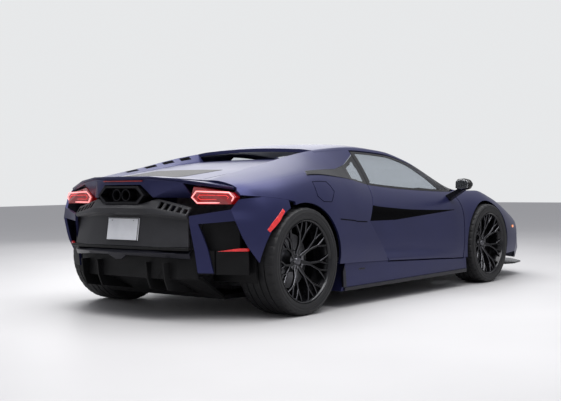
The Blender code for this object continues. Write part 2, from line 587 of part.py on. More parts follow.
def build_tail():
    """Tail panel, lamps, exhaust, rear corners, fascia with its plate, blade, lower panel and diffuser."""
    half = [[(line[0], *point) for point in line[1:]] for line in TAIL_COLUMNS]
    grid_from("tail_panel", "paint", both_sides(half), .016,
              lambda i, j: ((0, 0, -1), (0, -1, -2), (0, -1, 0), (0, -1, 0))[j],
              skip=lambda i, j: j == 2 and (i < 2 or i > 7))
    for side_name, side in SIDES:
        corner(side_name, side)
        tail_lamp(side_name, side)
    build_finisher()
    bridge = grid_from("rear_bridge", "gloss_black", both_sides(BRIDGE), .014, back)
    for side in (-1, 1):
        for k in range(LOUVRES):
            x0 = .322 + .046 * k
            x1 = x0 + .030
            slot = [(x0, .743 - .18 * (x0 - .27)), (x1, .743 - .18 * (x1 - .27)), (x1, .780 - .25 * (x1 - .31)),
                    (x0, .780 - .25 * (x0 - .31))]
            boolean(bridge, prism(f"louvre_{side}_{k}", [(side * x, z) for x, z in slot], "y", 1.9, 2.3, home=CUTTERS))
    half = [[(0, 2.1520, .700), (0, 2.120, .684), (0, 2.1526, .4803)],
            [(.292, 2.1320, .693), (.292, 2.120, .678), (.375, 2.148, .4803)],
            [(.530, 2.0720, .6745), (.530, 2.055, .655), (.550, 2.085, .4803)]]
    grid_from("rear_fascia", "grey_plastic", both_sides(half), .014,
              lambda i, j: ((0, 0, 1), (0, -1, .8), (0, -1, 0))[j])
    lean = math.hypot(PLATE_LEAN, 1)
    corners = [(plate_y(z) + s / lean, z + s * PLATE_LEAN / lean) for z, s in
               ((.517, .0006), (.667, .0006), (.667, .010), (.517, .010))]
    prism("number_plate", corners, "x", -.1525, .1525, "plate")
    half = [[(x, rear, .480), (x, front, .480)] for x, rear, front in
            ((0, 2.165, 2.06), (.20, 2.162, 2.06), (.40, 2.142, 2.05), (.575, 2.108, 2.068))]
    grid_from("rear_blade", "gloss_black", both_sides(half), .019, lambda i, j: (0, 0, -1))
    half = [[(0, 2.150, .4607), (0, TAIL_Y, .440), (0, 2.186, .393)], [(.032, 2.150, .4607), (.032, TAIL_Y, .440), (.032, 2.186, .393)],
            [(.089, 2.150, .4607), (.089, TAIL_Y, .442), (.089, 2.196, .425)],
            [(.30, 2.140, .4607), (.30, 2.185, .442), (.30, 2.165, .418)],
            [(.455, 2.105, .4607), (.455, 2.140, .440), (.455, 2.119, .411)],
            [(.555, 2.066, .4607), (.555, 2.085, .440), (.555, 2.072, .405)]]
    grid_from("rear_lower_panel", "paint", both_sides(half), .014, back)
    half = [[(x, 1.7443, .116), (x, bend, .262), (x, foot, .272), (x, top, .4604)] for x, bend, foot, top in
            ((0, 2.055, 2.120, 2.1355), (.30, 2.055, 2.120, 2.1250), (.46, 2.055, 2.095, 2.084),
             (.565, 1.970, 2.010, 2.020))]
    bowl = grid_from("diffuser", "black_plastic", both_sides(half), .018,
                     lambda i, j: ((0, 0, 1), (0, -.4, 1), (0, -1, 1), (0, -1, 0))[j])
    for x, face in DIFFUSER_FINS:
        fin = prism(f"diffuser_fin_{x}", [(1.80, .152), (2.120, .200), (2.150, .268), (2.165, .380), (face, .380),
                                         (face, .280), (2.05, .268)], "x", x - .006, x + .006, home=CUTTERS)
        boolean(bowl, fin, "UNION")
    for side in (-1, 1):
        low = [(.50, 2.055), (.555, 2.006), (.645, 1.935), (.668, 1.945), (.862, 1.850), (.84, 1.81), (.50, 1.90)]
        high = [(.57, 1.965), (.80, 1.862), (.80, 1.84), (.57, 1.93)]
        for name, plan, z0, z1 in (("low", low, .302, .455), ("high", high, .40, .66)):
            joined = prism(f"duct_{name}_{side}", [(side * x, y) for x, y in plan], "z", z0, z1, home=CUTTERS)
            boolean(bowl, joined, "UNION")


def plate_y(z):
    """Length y of the leaning face that carries the number plate."""
    return 2.120 + PLATE_LEAN * (.684 - z)


PLATE_LEAN = .160
LOUVRES = 5
# The diffuser's fins: x, and y inside the wall behind each
DIFFUSER_FINS = ((-.40, 2.095), (-.24, 2.113), (.24, 2.113), (.40, 2.095))
# The black bridge under the exhaust, from the middle outwards
BRIDGE = [[(0, 2.148, .7617), (0, 2.178, .735), (0, 2.178, .706), (0, 2.160, .690)],
          [(.185, 2.146, .7617), (.185, 2.176, .733), (.185, 2.176, .704), (.185, 2.158, .690)],
          [(.29, 2.098, .794), (.29, 2.150, .733), (.29, 2.158, .703), (.29, 2.140, .683)],
          [(.42, 2.066, .766), (.42, 2.120, .708), (.42, 2.128, .690), (.42, 2.112, .675)],
          [(.545, 2.048, .737), (.545, 2.088, .690), (.545, 2.092, .682), (.545, 2.080, .666)]]
FINISHER = [(.226, .819), (.162, .880), (-.162, .880), (-.226, .819), (-.165, .762), (.165, .762)]
PIPE_X = .045
PIPE_R = .040


def build_finisher():
    """The six-sided exhaust surround with its two pipes."""
    ring = prism("exhaust_finisher", FINISHER, "y", 2.055, 2.158, "metal")
    inside = [(x * .90, .820 + (z - .820) * .80) for x, z in FINISHER]
    boolean(ring, prism("finisher_pocket", inside, "y", 2.085, 2.2, home=CUTTERS))
    for side in (-1, 1):
        pipe = cylinder(f"pipe_{side}", "y", (side * PIPE_X, 2.108, .820), PIPE_R, .090, 20, home=CUTTERS)
        boolean(ring, pipe, "UNION")
    for side in (-1, 1):
        bore = cylinder(f"bore_{side}", "y", (side * PIPE_X, 2.130, .820), PIPE_R - .005, .130, 20, home=CUTTERS)
        boolean(ring, bore)


# The left tail lamp's outline, lens included: x, z and y of its face
LAMP = [(.4855, .803, 1.984), (.532, .754, 1.964), (.800, .757, 1.948), (.826, .803, 1.926), (.792, .832, 1.930),
        (.62, .860, 1.972), (.530, .872, 2.005)]


def tail_lamp(side_name, side):
    lamp = prism(f"tail_lamp_{side_name}", [(side * x, z) for x, z, _ in LAMP], "y", 0, .045, "lamp_red")
    count = len(LAMP)
    for k, v in enumerate(lamp.data.vertices):
        v.co.y += LAMP[k % count][2] - .045


def corner(side_name, side):
    """Body-coloured rear corner: the side behind the arch, the band over the vent and the pillar inside it."""
    cols, dirs = [], []
    for y in (1.56, 1.66, 1.76):
        rows = [quarter_row(BUMPER_ROW, y), 3.75, 4, 4.33, 4.6, 5]
        cols.append([skin(side * r, y) for r in rows])
        dirs.append([inward(side * r) for r in rows])
    for line, way in REAR_CORNER:
        cols.append([Vector((side * x, y, z)) for x, y, z in line])
        dirs.append([Vector((side * way[0], way[1], 0))] * len(line))
    for line in cols:
        line[0].z -= SEAT_GAP * 3
    piece = grid_from(f"rear_corner_{side_name}", "paint", cols, SKIN, lambda i, j: dirs[i][j],
                      skip=lambda i, j: i >= 3 and (j == 0 or (i < 5 and j > 1)))
    boolean(piece, bpy.data.objects[f"arch_cut_rear_{side_name}"])


# The left rear corner's columns from the crease inwards, top to bottom, each with its wall's direction in plan
REAR_CORNER = [
    ([(.848, 1.916, .790), (.817, 1.965, .725), (.845, 1.955, .653), (.867, 1.911, .544), (.883, 1.880, .486),
      (.908, 1.800, .381)], (-.8, -.6)),
    ([(.73, 1.99, .750), (.700, 2.018, .707), (.735, 1.995, .643), (.735, 1.98, .54), (.735, 1.97, .47),
      (.735, 1.95, .311)], (-.45, -1)),
    ([(.62, 2.04, .720), (.610, 2.060, .692), (.600, 2.041, .632), (.620, 2.010, .540), (.635, 1.990, .470),
      (.660, 1.964, .311)], (-.45, -1)),
    ([(.56, 2.07, .710), (.560, 2.083, .684), (.562, 2.080, .632), (.569, 2.065, .540), (.575, 2.050, .460),
      (.582, 2.029, .314)], (-.45, -1))]


def build_tub():
    """Floor, bulkheads, sills, cabin fittings and the engine block."""
    half = [(.50, -1.7997), (.50, -.92), (.74, -.84), (.74, 1.00), (.60, 1.04), (.56, 1.744)]
    outline = half + [(-x, y) for x, y in half[::-1]]
    floor = prism("tub", outline, "z", GROUND_CLEARANCE, GROUND_CLEARANCE + FLOOR_WALL, "black_plastic")
    parts = [((-.86, -.838, GROUND_CLEARANCE + .001), (-.70, .94, SILL_Z)),
             ((.70, -.838, GROUND_CLEARANCE + .001), (.86, .94, SILL_Z)),
             ((-.80, -.842, GROUND_CLEARANCE + .002), (.80, -.812, .740)),
             ((-.69, .60, GROUND_CLEARANCE + .002), (.69, .64, .96))]
    for side in (-1, 1):
        x = side * skin(MID, -1.07).x
        top = skin(MID + .06, -1.085).z - LID_WALL - SEAT_GAP
        parts.append(((x - .020, -1.090, .690), (x + .020, -.820, .730)))
        parts.append(((x - .019, -1.085, .720), (x + .019, -1.062, top)))
        x, y = side * LID_HINGE_X, roof_rear(0) + LID_GAP + .050
        top = deck(LID_EDGE * (LID_HINGE_X + .02) / deck(LID_EDGE, y).x, y).z - LID_WALL - SEAT_GAP
        parts.append(((x - .02, .61, top - .14), (x + .02, y, top)))
    for side in (-1, 1):
        for z in DOOR_HINGE_Z:
            reach = hinge_reach(z) - SEAT_GAP
            low, high = sorted((side * .79, side * reach))
            parts.append(((low, -.836, z - .03), (high, -.800, z + .03)))
    for k, (low, high) in enumerate(parts):
        joined = box(f"tub_part_{k}", low, high, home=CUTTERS)
        boolean(floor, joined, "UNION")
    build_boot()
    box("engine_block", (-.33, .76, FLOOR_TOP), (.33, 1.30, .80), "metal")
    for side_name, side in SIDES:
        cx = .37 * side
        outline = [(-.42, FLOOR_TOP), (.30, FLOOR_TOP), (.50, .80), (.46, .93), (.38, .92), (.30, .70), (.14, .34), (-.40, .37)]
        prism(f"seat_{side_name}", outline, "x", cx - .24, cx + .24, "leather")
        rear = [(y, skin(LOW, y).z - SEAT_GAP) for y in quarter_columns(LOW)[:5]]
        front = [(y, skin(LOW, y).z - SEAT_GAP) for y in (DOOR_FRONT(LOW) - DOOR_GAP / 2, -.868)]
        under = [(y, skin(LOW, y).z - DOOR_GAP) for y in spread([rear[0][0] - .002, front[0][0] + .002], [6])]
        skirt = [(-.880, .120), (.96, .120)] + rear[::-1] + under + front
        prism(f"side_skirt_{side_name}", skirt, "x", min(side * .8605, side * .955), max(side * .8605, side * .955),
              "paint")
    dash = [(-.8117, .40), (-.70, .40), (-.58, .55), (-.60, .68), (-.72, .755), (-.8117, .775)]
    prism("dashboard", dash, "x", -.66, .66, "leather")
    console = prism("console", [(-.66, FLOOR_TOP), (.55, FLOOR_TOP), (.55, .36), (-.20, .42), (-.60, .54), (-.66, .54)],
                    "x", -.11, .11, home=CUTTERS)
    boolean(bpy.data.objects["dashboard"], console, "UNION")


def hinge_reach(z):
    """How far out the door's inner face lies at height z, near its front edge."""
    rows = [r for r in np.arange(CREST, LOW, .02) if abs(skin(r, -.82).z - z) < .045]
    return min((skin(r, y) + inward(r) * DOOR_WALL).x for r in rows for y in (-.84, -.80)) - SEAT_GAP


def build_boot():
    """The front boot: an open box whose top edge slopes just under the front lid."""
    y0, y1 = BOOT_Y
    z = FLOOR_TOP
    shell = box("boot_tub", (-BOOT_X, y0, z), (BOOT_X, y1, .80), "black_plastic")
    room = box("boot_room", (-BOOT_X + BOOT_WALL, y0 + BOOT_WALL, z + .02), (BOOT_X - BOOT_WALL, y1 - BOOT_WALL, .9),
               home=CUTTERS)
    ends = [(y, skin(MID, y).z - LID_WALL - .012) for y in (y0 - .05, y1 + .05)]
    slope = prism("boot_slope", ends + [(y1 + .05, 1), (y0 - .05, 1)], "x", -.6, .6, home=CUTTERS)
    boolean(shell, room)
    boolean(shell, slope)


LID_HINGE_X = .30
DOOR_HINGE_Z = (.37, .60)
BOOT_X = .420
BOOT_Y = (-1.795, -1.430)
BOOT_WALL = .008

STEER_WHEEL = Vector((.37, -.40, .70))
STEER_TILT = 24.0
COLUMN = 0.120


def build_steering_wheel():
    """A ring with three spokes on its column, turned about the tilted column."""
    bm = bmesh.new()
    ring, steps, sides = .172, 20, 5
    verts = [[bm.verts.new(((ring + .014 * math.cos(b)) * math.cos(a), (ring + .014 * math.cos(b)) * math.sin(a),
                            .014 * math.sin(b))) for b in [2 * math.pi * k / sides for k in range(sides)]]
             for a in [2 * math.pi * i / steps for i in range(steps)]]
    for i in range(steps):
        for k in range(sides):
            here, there = verts[i], verts[(i + 1) % steps]
            bm.faces.new((here[k], here[(k + 1) % sides], there[(k + 1) % sides], there[k]))
    wheel = add_object("steering_wheel", bm, "leather")
    hub = cylinder("steer_hub", "z", (0, 0, -.010), .055, .040, 16, home=CUTTERS)
    bar = box("steer_bar", (-.172, -.018, -.009), (.172, .016, .007), home=CUTTERS)
    foot = box("steer_foot", (-.016, 0, -.008), (.014, .171, .006), home=CUTTERS)
    column = cylinder("steer_column", "z", (0, 0, -COLUMN / 2), .022, COLUMN, 12, home=CUTTERS)
    place = Matrix.Translation(STEER_WHEEL) @ Matrix.Rotation(math.radians(-90 + STEER_TILT), 4, "X")
    for part in (hub, bar, foot, column):
        boolean(wheel, part, "UNION")
        part.matrix_world = place
    wheel.matrix_world = place
    shroud = cylinder("column_shroud", "z", (0, 0, -COLUMN - SEAT_GAP - .08), .038, .16, 12, home=CUTTERS)
    shroud.matrix_world = place
    boolean(bpy.data.objects["dashboard"], shroud, "UNION")


def star_cells(hub_r, rim_r):
    """Flat points and faces of a star of forked spokes, all sharing their points."""
    points, faces, hub = [], [], []
    step = 2 * math.pi / SPOKES
    fork_r = hub_r + (rim_r - hub_r) * FORK_SHARE
    mid_r = (hub_r + fork_r) / 2
    for k in range(SPOKES):
        mid = k * step + math.pi / 2
        first = len(points)
        arm = step * FORK_SPREAD
        points += [polar(hub_r, mid, -SPOKE_W), polar(hub_r, mid, SPOKE_W),
                   polar(mid_r, mid, -SPOKE_W * .75), polar(mid_r, mid, SPOKE_W * .75),
                   polar(fork_r, mid, -SPOKE_W * .70), polar(fork_r, mid, SPOKE_W * .70),
                   polar(fork_r + SPOKE_W * 1.4, mid, 0),
                   polar(rim_r, mid - arm, -SPOKE_W * .5), polar(rim_r, mid - arm, SPOKE_W * .5),
                   polar(rim_r, mid + arm, -SPOKE_W * .5), polar(rim_r, mid + arm, SPOKE_W * .5)]
        for cell in ((0, 2, 3, 1), (2, 4, 5, 3), (4, 6, 5), (4, 7, 8, 6), (6, 9, 10, 5)):
            faces.append([first + c for c in cell])
        hub += [first, first + 1]
    faces.append(hub)
    return points, faces


def polar(radius, angle, across):
    return (radius * math.cos(angle) - across * math.sin(angle), radius * math.sin(angle) + across * math.cos(angle))


def build_wheels():
    """Tyres, wheels with their brake discs, and the knuckles that carry them."""
    for axle, (y, tyre_r, width, rim_r, half_track) in AXLES.items():
        half = width / 2
        rim_half = half * .94
        for side_name, side in SIDES:
            tag = f"{axle}_{side_name}"
            centre = (side * half_track, y, tyre_r)
            bead = rim_r + .0006
            tyre = [(bead, -rim_half), (bead + .03, -half), (tyre_r - .030, -half), (tyre_r, -half * .80),
                    (tyre_r, half * .80), (tyre_r - .030, half), (bead + .03, half), (bead, rim_half)]
            turned(f"tyre_{tag}", tyre, "rubber", centre, side)
            barrel = [(rim_r, rim_half), (rim_r, -rim_half), (rim_r - .030, -rim_half + .002),
                      (rim_r - .034, rim_half - .050), (rim_r - .014, rim_half - .006)]
            wheel = turned(f"wheel_{tag}", barrel, "alloy_black", centre, side)
            spider = spider_object(f"spider_{tag}", centre, side, rim_r, rim_half)
            hub_x = KNUCKLE_FACE[axle] - half_track
            hub = turned(f"hub_{tag}", [(BORE_R, hub_x), (.075, hub_x), (.075, hub_x + .012), (DISC_R, hub_x + .012),
                                        (DISC_R, hub_x + .040), (.075, hub_x + .040), (.075, rim_half - SPOKE_DISH - .020),
                                        (BORE_R, rim_half - SPOKE_DISH - .020)], None, centre, side, 16)
            for part in (spider, hub):
                boolean(wheel, part, "UNION")
                use_up(part)
            build_knuckle(axle, side_name, side, centre)


DISC_R = .185
BORE_R = .031
HUB_R = .062
SPOKE_W = .016
SPOKE_D = .024
SPOKE_DISH = .062
SPOKE_TIP_X = .014
SPOKE_TIP_IN = .012
FORK_SHARE = .50
FORK_SPREAD = .26


def spider_object(name, centre, side, rim_r, rim_half):
    """The spokes: the flat star, thickened and dished so that its hub lies inboard of its rim."""
    points, faces = star_cells(HUB_R, rim_r - SPOKE_TIP_IN)
    bm = bmesh.new()
    layers = []
    for depth in (0, -SPOKE_D):
        layer = []
        for a, b in points:
            share = min(1.0, max(0.0, (math.hypot(a, b) - HUB_R) / (rim_r - SPOKE_TIP_IN - HUB_R)))
            x = rim_half - SPOKE_TIP_X - SPOKE_DISH * (1 - share) ** 1.5 + depth
            layer.append(bm.verts.new((centre[0] + side * x, centre[1] + a, centre[2] + b)))
        layers.append(layer)
    edges = {}
    for cell in faces:
        bm.faces.new([layers[0][i] for i in cell])
        bm.faces.new([layers[1][i] for i in cell[::-1]])
        for i, j in zip(cell, cell[1:] + cell[:1]):
            edges[i, j] = True
    for i, j in edges:
        if (j, i) not in edges:
            bm.faces.new((layers[0][j], layers[0][i], layers[1][i], layers[1][j]))
    bm.normal_update()
    bmesh.ops.triangulate(bm, faces=bm.faces)
    return add_object(name, bm, None)


def build_knuckle(axle, side_name, side, centre):
    """Upright, spindle and kingpins. The front ones steer, and the rear ones join the rear cross member."""
    x, y, z = KNUCKLE_FACE[axle], centre[1], centre[2]
    tag = f"{axle}_{side_name}"
    steered = axle == "front"
    name = f"knuckle_{tag}"
    low, high = sorted((side * (x - .045), side * (x - .0005)))
    half = KINGPIN_HALF - .02 if steered else KINGPIN_HALF + .01
    knuckle = box(name, (low, y - .055, z - half), (high, y + .055, z + half), "metal", None if steered else CUTTERS)
    spindle = cylinder(f"spindle_{tag}", "x", (side * (x + .03), y, z), .030, .10, 16, home=CUTTERS)
    pin = cylinder(f"kingpin_{tag}", "z", (side * (x - .022), y, z), .014, 2 * KINGPIN_HALF, 12, home=CUTTERS)
    boolean(knuckle, spindle, "UNION")
    if steered:
        boolean(knuckle, pin, "UNION")


KINGPIN_HALF = .160


def build_suspension():
    """Cross members with the arms that hold the knuckles."""
    for axle, (y, tyre_r, _, _, _) in AXLES.items():
        x_pin = KNUCKLE_FACE[axle] - .022
        low_z = tyre_r - KINGPIN_HALF
        high_z = tyre_r + KINGPIN_HALF
        beam = box(f"{axle}_suspension", (-.36, y - .05, FLOOR_TOP), (.36, y + .05, high_z + .020), "metal")
        for k, side in enumerate((1, -1)):
            for z0, z1 in ((low_z - .022, low_z - SEAT_GAP), (high_z + SEAT_GAP, high_z + .018)):
                arm = [(side * .34, y - .16), (side * .34, y + .16), (side * .60, y + .10),
                       (side * (x_pin + .016), y + .018), (side * (x_pin + .016), y - .018), (side * .60, y - .10)]
                joined = prism(f"arm_{axle}_{k}_{z0:.2f}", arm, "z", z0, z1, home=CUTTERS)
                boolean(beam, joined, "UNION")
    for side_name, _ in SIDES:
        boolean(beam, bpy.data.objects[f"knuckle_rear_{side_name}"], "UNION")


def build_mirrors():
    """Door mirrors on short arms."""
    for side_name, side in SIDES:
        mirror = mirror_shell(side_name, side)
        foot = [skin(row, -.70) for row in (3.42, 3.30, 3.20)]
        arm = [(p.x + .0008, p.z) for p in foot] + [(1.02, .842), (1.05, .822)]
        joined = prism(f"mirror_arm_{side_name}", [(side * a, b) for a, b in arm], "y", -.73, -.67, home=CUTTERS)
        boolean(mirror, joined, "UNION")


def mirror_shell(side_name, side):
    """The housing: rounded sections from its inner end to its tip."""
    bm = bmesh.new()
    rings = []
    for x, deep, high in ((.985, .030, .032), (1.00, .050, .045), (1.06, .058, .050), (1.105, .050, .040),
                          (MIRROR_X, .028, .020)):
        ring = []
        for k in range(12):
            a = 2 * math.pi * k / 12
            ring.append(bm.verts.new((side * x, -.655 - deep * math.cos(a) * (.55 if math.cos(a) < 0 else 1),
                                      .862 + high * math.sin(a))))
        rings.append(ring)
    for here, there in zip(rings, rings[1:]):
        for k in range(12):
            bm.faces.new((here[k], here[(k + 1) % 12], there[(k + 1) % 12], there[k]))
    bm.faces.new(rings[0][::-1])
    bm.faces.new(rings[-1])
    return add_object(f"mirror_{side_name}", bm, "gloss_black")


build_skin()
build_nose()
build_tail()
build_tub()
build_steering_wheel()
build_wheels()
build_suspension()
build_mirrors()
for made in bpy.context.scene.collection.all_objects:
    made.matrix_world = Matrix.Translation((0, -MIDDLE_Y, 0)) @ made.matrix_world
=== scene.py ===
import math

import bmesh
import bpy
import numpy as np
from mathutils import Matrix, Vector


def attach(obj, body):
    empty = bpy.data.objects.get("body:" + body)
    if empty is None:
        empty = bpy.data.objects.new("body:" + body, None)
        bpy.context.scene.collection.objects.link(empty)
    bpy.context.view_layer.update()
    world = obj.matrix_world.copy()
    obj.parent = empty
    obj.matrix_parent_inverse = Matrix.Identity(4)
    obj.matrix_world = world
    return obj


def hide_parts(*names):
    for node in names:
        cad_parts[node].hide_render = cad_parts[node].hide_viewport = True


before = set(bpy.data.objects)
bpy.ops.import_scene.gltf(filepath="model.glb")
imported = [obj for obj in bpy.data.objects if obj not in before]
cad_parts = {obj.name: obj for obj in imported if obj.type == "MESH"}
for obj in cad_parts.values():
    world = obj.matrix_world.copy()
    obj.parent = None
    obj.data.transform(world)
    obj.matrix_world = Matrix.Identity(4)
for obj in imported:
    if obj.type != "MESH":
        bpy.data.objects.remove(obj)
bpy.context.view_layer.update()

# Camera, fitted to both wheels, the far tyre and the symmetric pairs of the tail
IMAGE_W = 561
SENSOR_MM = 36.0
CAM_FOCAL_PX = 997.1
CAM_AT = Vector((-5.029, 6.842, .895))
CAM_YAW = 141.166
CAM_PITCH = -1.046
CAM_ROLL = .602

# Overall size
LENGTH = 4.706
HEIGHT = 1.201
WHEELBASE = 2.658
REAR_OVERHANG = 0.803
REAR_AXLE_Y = 1.402
FRONT_AXLE_Y = REAR_AXLE_Y - WHEELBASE
TAIL_Y = REAR_AXLE_Y + REAR_OVERHANG
NOSE_Y = TAIL_Y - LENGTH
MIDDLE_Y = (NOSE_Y + TAIL_Y) / 2
# Wheels
FRONT_TYRE_R = 0.343
FRONT_TYRE_W = 0.255
FRONT_RIM_R = 0.266
FRONT_TRACK = 1.722
REAR_TYRE_R = 0.364
REAR_TYRE_W = 0.325
REAR_RIM_R = 0.279
REAR_TRACK = 1.670
ARCH_GAP = 0.030
# Walls and gaps
GAP = 0.006
LID_GAP = 0.010
DOOR_GAP = 0.008
SEAT_GAP = 0.0003
SKIN = 0.018
DOOR_WALL = 0.060
ROOF_WALL = 0.026
GLASS = 0.005
LID_WALL = 0.020
# Rows of the outer skin: y, x, z of the left half. Each row runs from nose to tail.
ROWS = [
    # 0 and 1: hood and roof along the middle
    [(-2.32, 0, .482), (-2.10, 0, .560), (-1.90, 0, .622), (-1.55, 0, .712), (-1.256, 0, .772),
     (-1.04, 0, .812), (-0.70, 0, .968), (-0.42, 0, 1.092), (-0.15, 0, 1.168), (0.15, 0, HEIGHT - .003),
     (0.50, 0, 1.190), (0.85, 0, 1.150)],
    [(-2.29, .31, .474), (-2.10, .31, .548), (-1.90, .32, .612), (-1.55, .34, .700), (-1.256, .36, .760),
     (-1.04, .37, .802), (-0.70, .35, .962), (-0.42, .33, 1.084), (-0.15, .31, 1.162), (0.15, .30, 1.194),
     (0.50, .30, 1.182), (0.85, .30, 1.142)],
    # 2: hood edge, windscreen pillar, roof edge and rear buttress ridge
    [(-2.20, .62, .490), (-1.90, .66, .600), (-1.55, .68, .700), (-1.256, .70, .765), (-1.00, .715, .800),
     (-0.70, .680, .945), (-0.42, .635, 1.062), (-0.10, .595, 1.138), (0.30, .575, 1.160), (0.70, .575, 1.138),
     (1.00, .580, 1.098), (1.40, .590, 1.020), (1.80, .605, .945), (2.00, .598, .900)],
    # 3: front wing crest, base of the side glass and rear haunch crest
    [(-2.20, .700, .480), (-1.90, .775, .610), (-1.55, .815, .745), (-1.256, .828, .805), (-0.85, .832, .800),
     (-0.30, .830, .818), (0.40, .838, .865), (0.80, .862, .925), (1.15, .880, .950), (1.45, .880, .925),
     (1.80, .848, .880), (1.95, .775, .862), (2.10, .700, .845)],
    # 4 and 5: widest line of the side, and the sill
    [(-2.20, .820, .400), (-1.90, .905, .480), (-1.55, .965, .560), (-1.256, .985, .600), (-0.85, .950, .600),
     (-0.30, .946, .592), (0.40, .958, .592), (0.80, .975, .610), (1.15, .994, .640), (1.40, .998, .650),
     (1.62, .988, .645), (1.80, .928, .630), (1.95, .848, .615), (2.10, .765, .600)],
    [(-2.20, .840, .260), (-1.90, .915, .240), (-1.55, .960, .230), (-1.256, .970, .235), (-0.85, .955, .245),
     (-0.30, .950, .270), (0.40, .960, .300), (0.80, .975, .315), (1.15, .985, .325), (1.40, .985, .335),
     (1.62, .972, .350), (1.80, .915, .375), (1.95, .840, .400), (2.10, .760, .420)],
]
CENTRE, MID, RAIL, CREST, WAIST, LOW = range(6)
# How far the skin bows out between a row and the next, and which way a wall's inner face lies from each row.
BULGE = [0.004, 0.006, 0.012, 0.030, 0.012]
INWARD_DEG = [0, 4, 30, 50, 88, 90]


def row_at(row, y):
    """x and z of a row at y, by a shape-keeping cubic through the row's points."""
    pts = ROWS[row]
    ys = [p[0] for p in pts]
    y = min(max(y, ys[0]), ys[-1])
    k = max(i for i in range(len(ys) - 1) if ys[i] <= y)
    h = ys[k + 1] - ys[k]
    t = (y - ys[k]) / h
    out = []
    for c in (1, 2):
        d = [(b[c] - a[c]) / (b[0] - a[0]) for a, b in zip(pts, pts[1:])]
        d = [d[0], *d, d[-1]]
        m = [0.0 if d[i] * d[i + 1] <= 0 else 2 * d[i] * d[i + 1] / (d[i] + d[i + 1]) for i in (k, k + 1)]
        out.append((2 * t**3 - 3 * t**2 + 1) * pts[k][c] + (t**3 - 2 * t**2 + t) * h * m[0]
                   + (-2 * t**3 + 3 * t**2) * pts[k + 1][c] + (t**3 - t**2) * h * m[1])
    return out


def between(r):
    """The lower of the two rows about a row number, and the share of the way to the next."""
    k = min(int(abs(r)), len(ROWS) - 2)
    return k, abs(r) - k


def skin(r, y):
    """Point of the outer skin at row number r (0 to 5, negative on the right half) and length y."""
    k, t = between(r)
    x0, z0 = row_at(k, y)
    x1, z1 = row_at(k + 1, y)
    dx, dz = x1 - x0, z1 - z0
    bow = BULGE[k] * 4 * t * (1 - t) / (math.hypot(dx, dz) or 1)
    return Vector(((-1 if r < 0 else 1) * (x0 + dx * t - dz * bow), y, z0 + dz * t + dx * bow))


def inward(r):
    """Unit vector from the outer skin to a wall's inner face at row number r."""
    k, t = between(r)
    a = math.radians(INWARD_DEG[k] + (INWARD_DEG[k + 1] - INWARD_DEG[k]) * t)
    return Vector(((1 if r < 0 else -1) * math.sin(a), 0, -math.cos(a)))


def along(table, at, column=1):
    """A column of a table, straight between its rows, where its first column says at."""
    return float(np.interp(at, [row[0] for row in table], [row[column] for row in table]))


def seam(points):
    """Length y as a function of row number, straight between the given (row, y) pairs."""
    return lambda r: along(points, abs(r))


# Seams between panels: row number and y
COWL = seam([(CENTRE, -1.070), (MID, -1.050), (RAIL, -1.000), (CREST, -0.900)])
DOOR_FRONT = seam([(RAIL, -0.790), (CREST, -0.800), (3.4, -0.830), (WAIST, -0.845), (LOW, -0.822)])
DOOR_REAR = seam([(CREST, 0.445), (3.5, 0.505), (WAIST, 0.600), (LOW, 0.345)])
GLASS_FRONT = seam([(RAIL, -0.768), (2.5, -0.782), (CREST, -0.796)])
GLASS_REAR = seam([(RAIL, 0.340), (CREST, 0.445)])
WING_FRONT = seam([(RAIL, -2.080), (CREST, -2.060), (WAIST, -1.960), (LOW, -1.860)])
HEADLAMP_REAR = seam([(1.8, -1.800), (RAIL, -1.800), (2.6, -1.800), (CREST, -1.900), (3.25, -2.010), (3.26, -2.034),
                      (WAIST, -1.960), (LOW, -1.860)])
LID_FRONT = seam([(CENTRE, -2.300), (MID, -2.265), (RAIL, -2.080)])
TAIL_SEAM = seam([(1.8, 1.967), (RAIL, 1.942), (2.6, 1.911), (CREST, 1.894), (3.25, 1.905), (LOW, 1.865)])
# Rear deck between the buttresses: y and z along the middle, and the half width and z of the lid's edge
DECK = [(0.80, 1.072, .500, 1.066), (1.10, 1.040, .500, 1.036), (1.50, .990, .510, .980),
        (1.90, .950, .530, .922), (2.20, .940, .545, .900)]
# The tail panel's front edge: x, and y at each
TAIL_EDGE = ((0, .27, .485, .62, .79), (2.070, 2.070, 1.9946, 1.9356, 1.8966))


def thick_grid(bm, outer, inner, skip=None):
    """Adds a closed wall between two like grids of points. skip(i, j) leaves a cell open."""
    rows, cols = len(outer), len(outer[0])
    top = [[bm.verts.new(p) for p in line] for line in outer]
    under = [[bm.verts.new(p) for p in line] for line in inner]
    here = {(i, j) for i in range(rows - 1) for j in range(cols - 1) if not (skip and skip(i, j))}
    for i, j in here:
        bm.faces.new((top[i][j], top[i + 1][j], top[i + 1][j + 1], top[i][j + 1]))
        bm.faces.new((under[i][j], under[i][j + 1], under[i + 1][j + 1], under[i + 1][j]))
        for (a, b), near in ((((i, j), (i, j + 1)), (i - 1, j)), (((i + 1, j + 1), (i + 1, j)), (i + 1, j)),
                             (((i + 1, j), (i, j)), (i, j - 1)), (((i, j + 1), (i + 1, j + 1)), (i, j + 1))):
            if near not in here:
                bm.faces.new((top[a[0]][a[1]], top[b[0]][b[1]], under[b[0]][b[1]], under[a[0]][a[1]]))
    loose = [v for v in bm.verts if not v.link_faces]
    bmesh.ops.delete(bm, geom=loose, context="VERTS")


def spread(values, steps):
    """Numbers from the first of values to the last, with each gap cut into its number of steps."""
    out = [values[0]]
    for a, b, n in zip(values, values[1:], steps):
        out += [a + (b - a) * (i + 1) / n for i in range(n)]
    return out


def offset(line, by):
    """A seam moved along the car by a distance."""
    return lambda r: line(r) + by


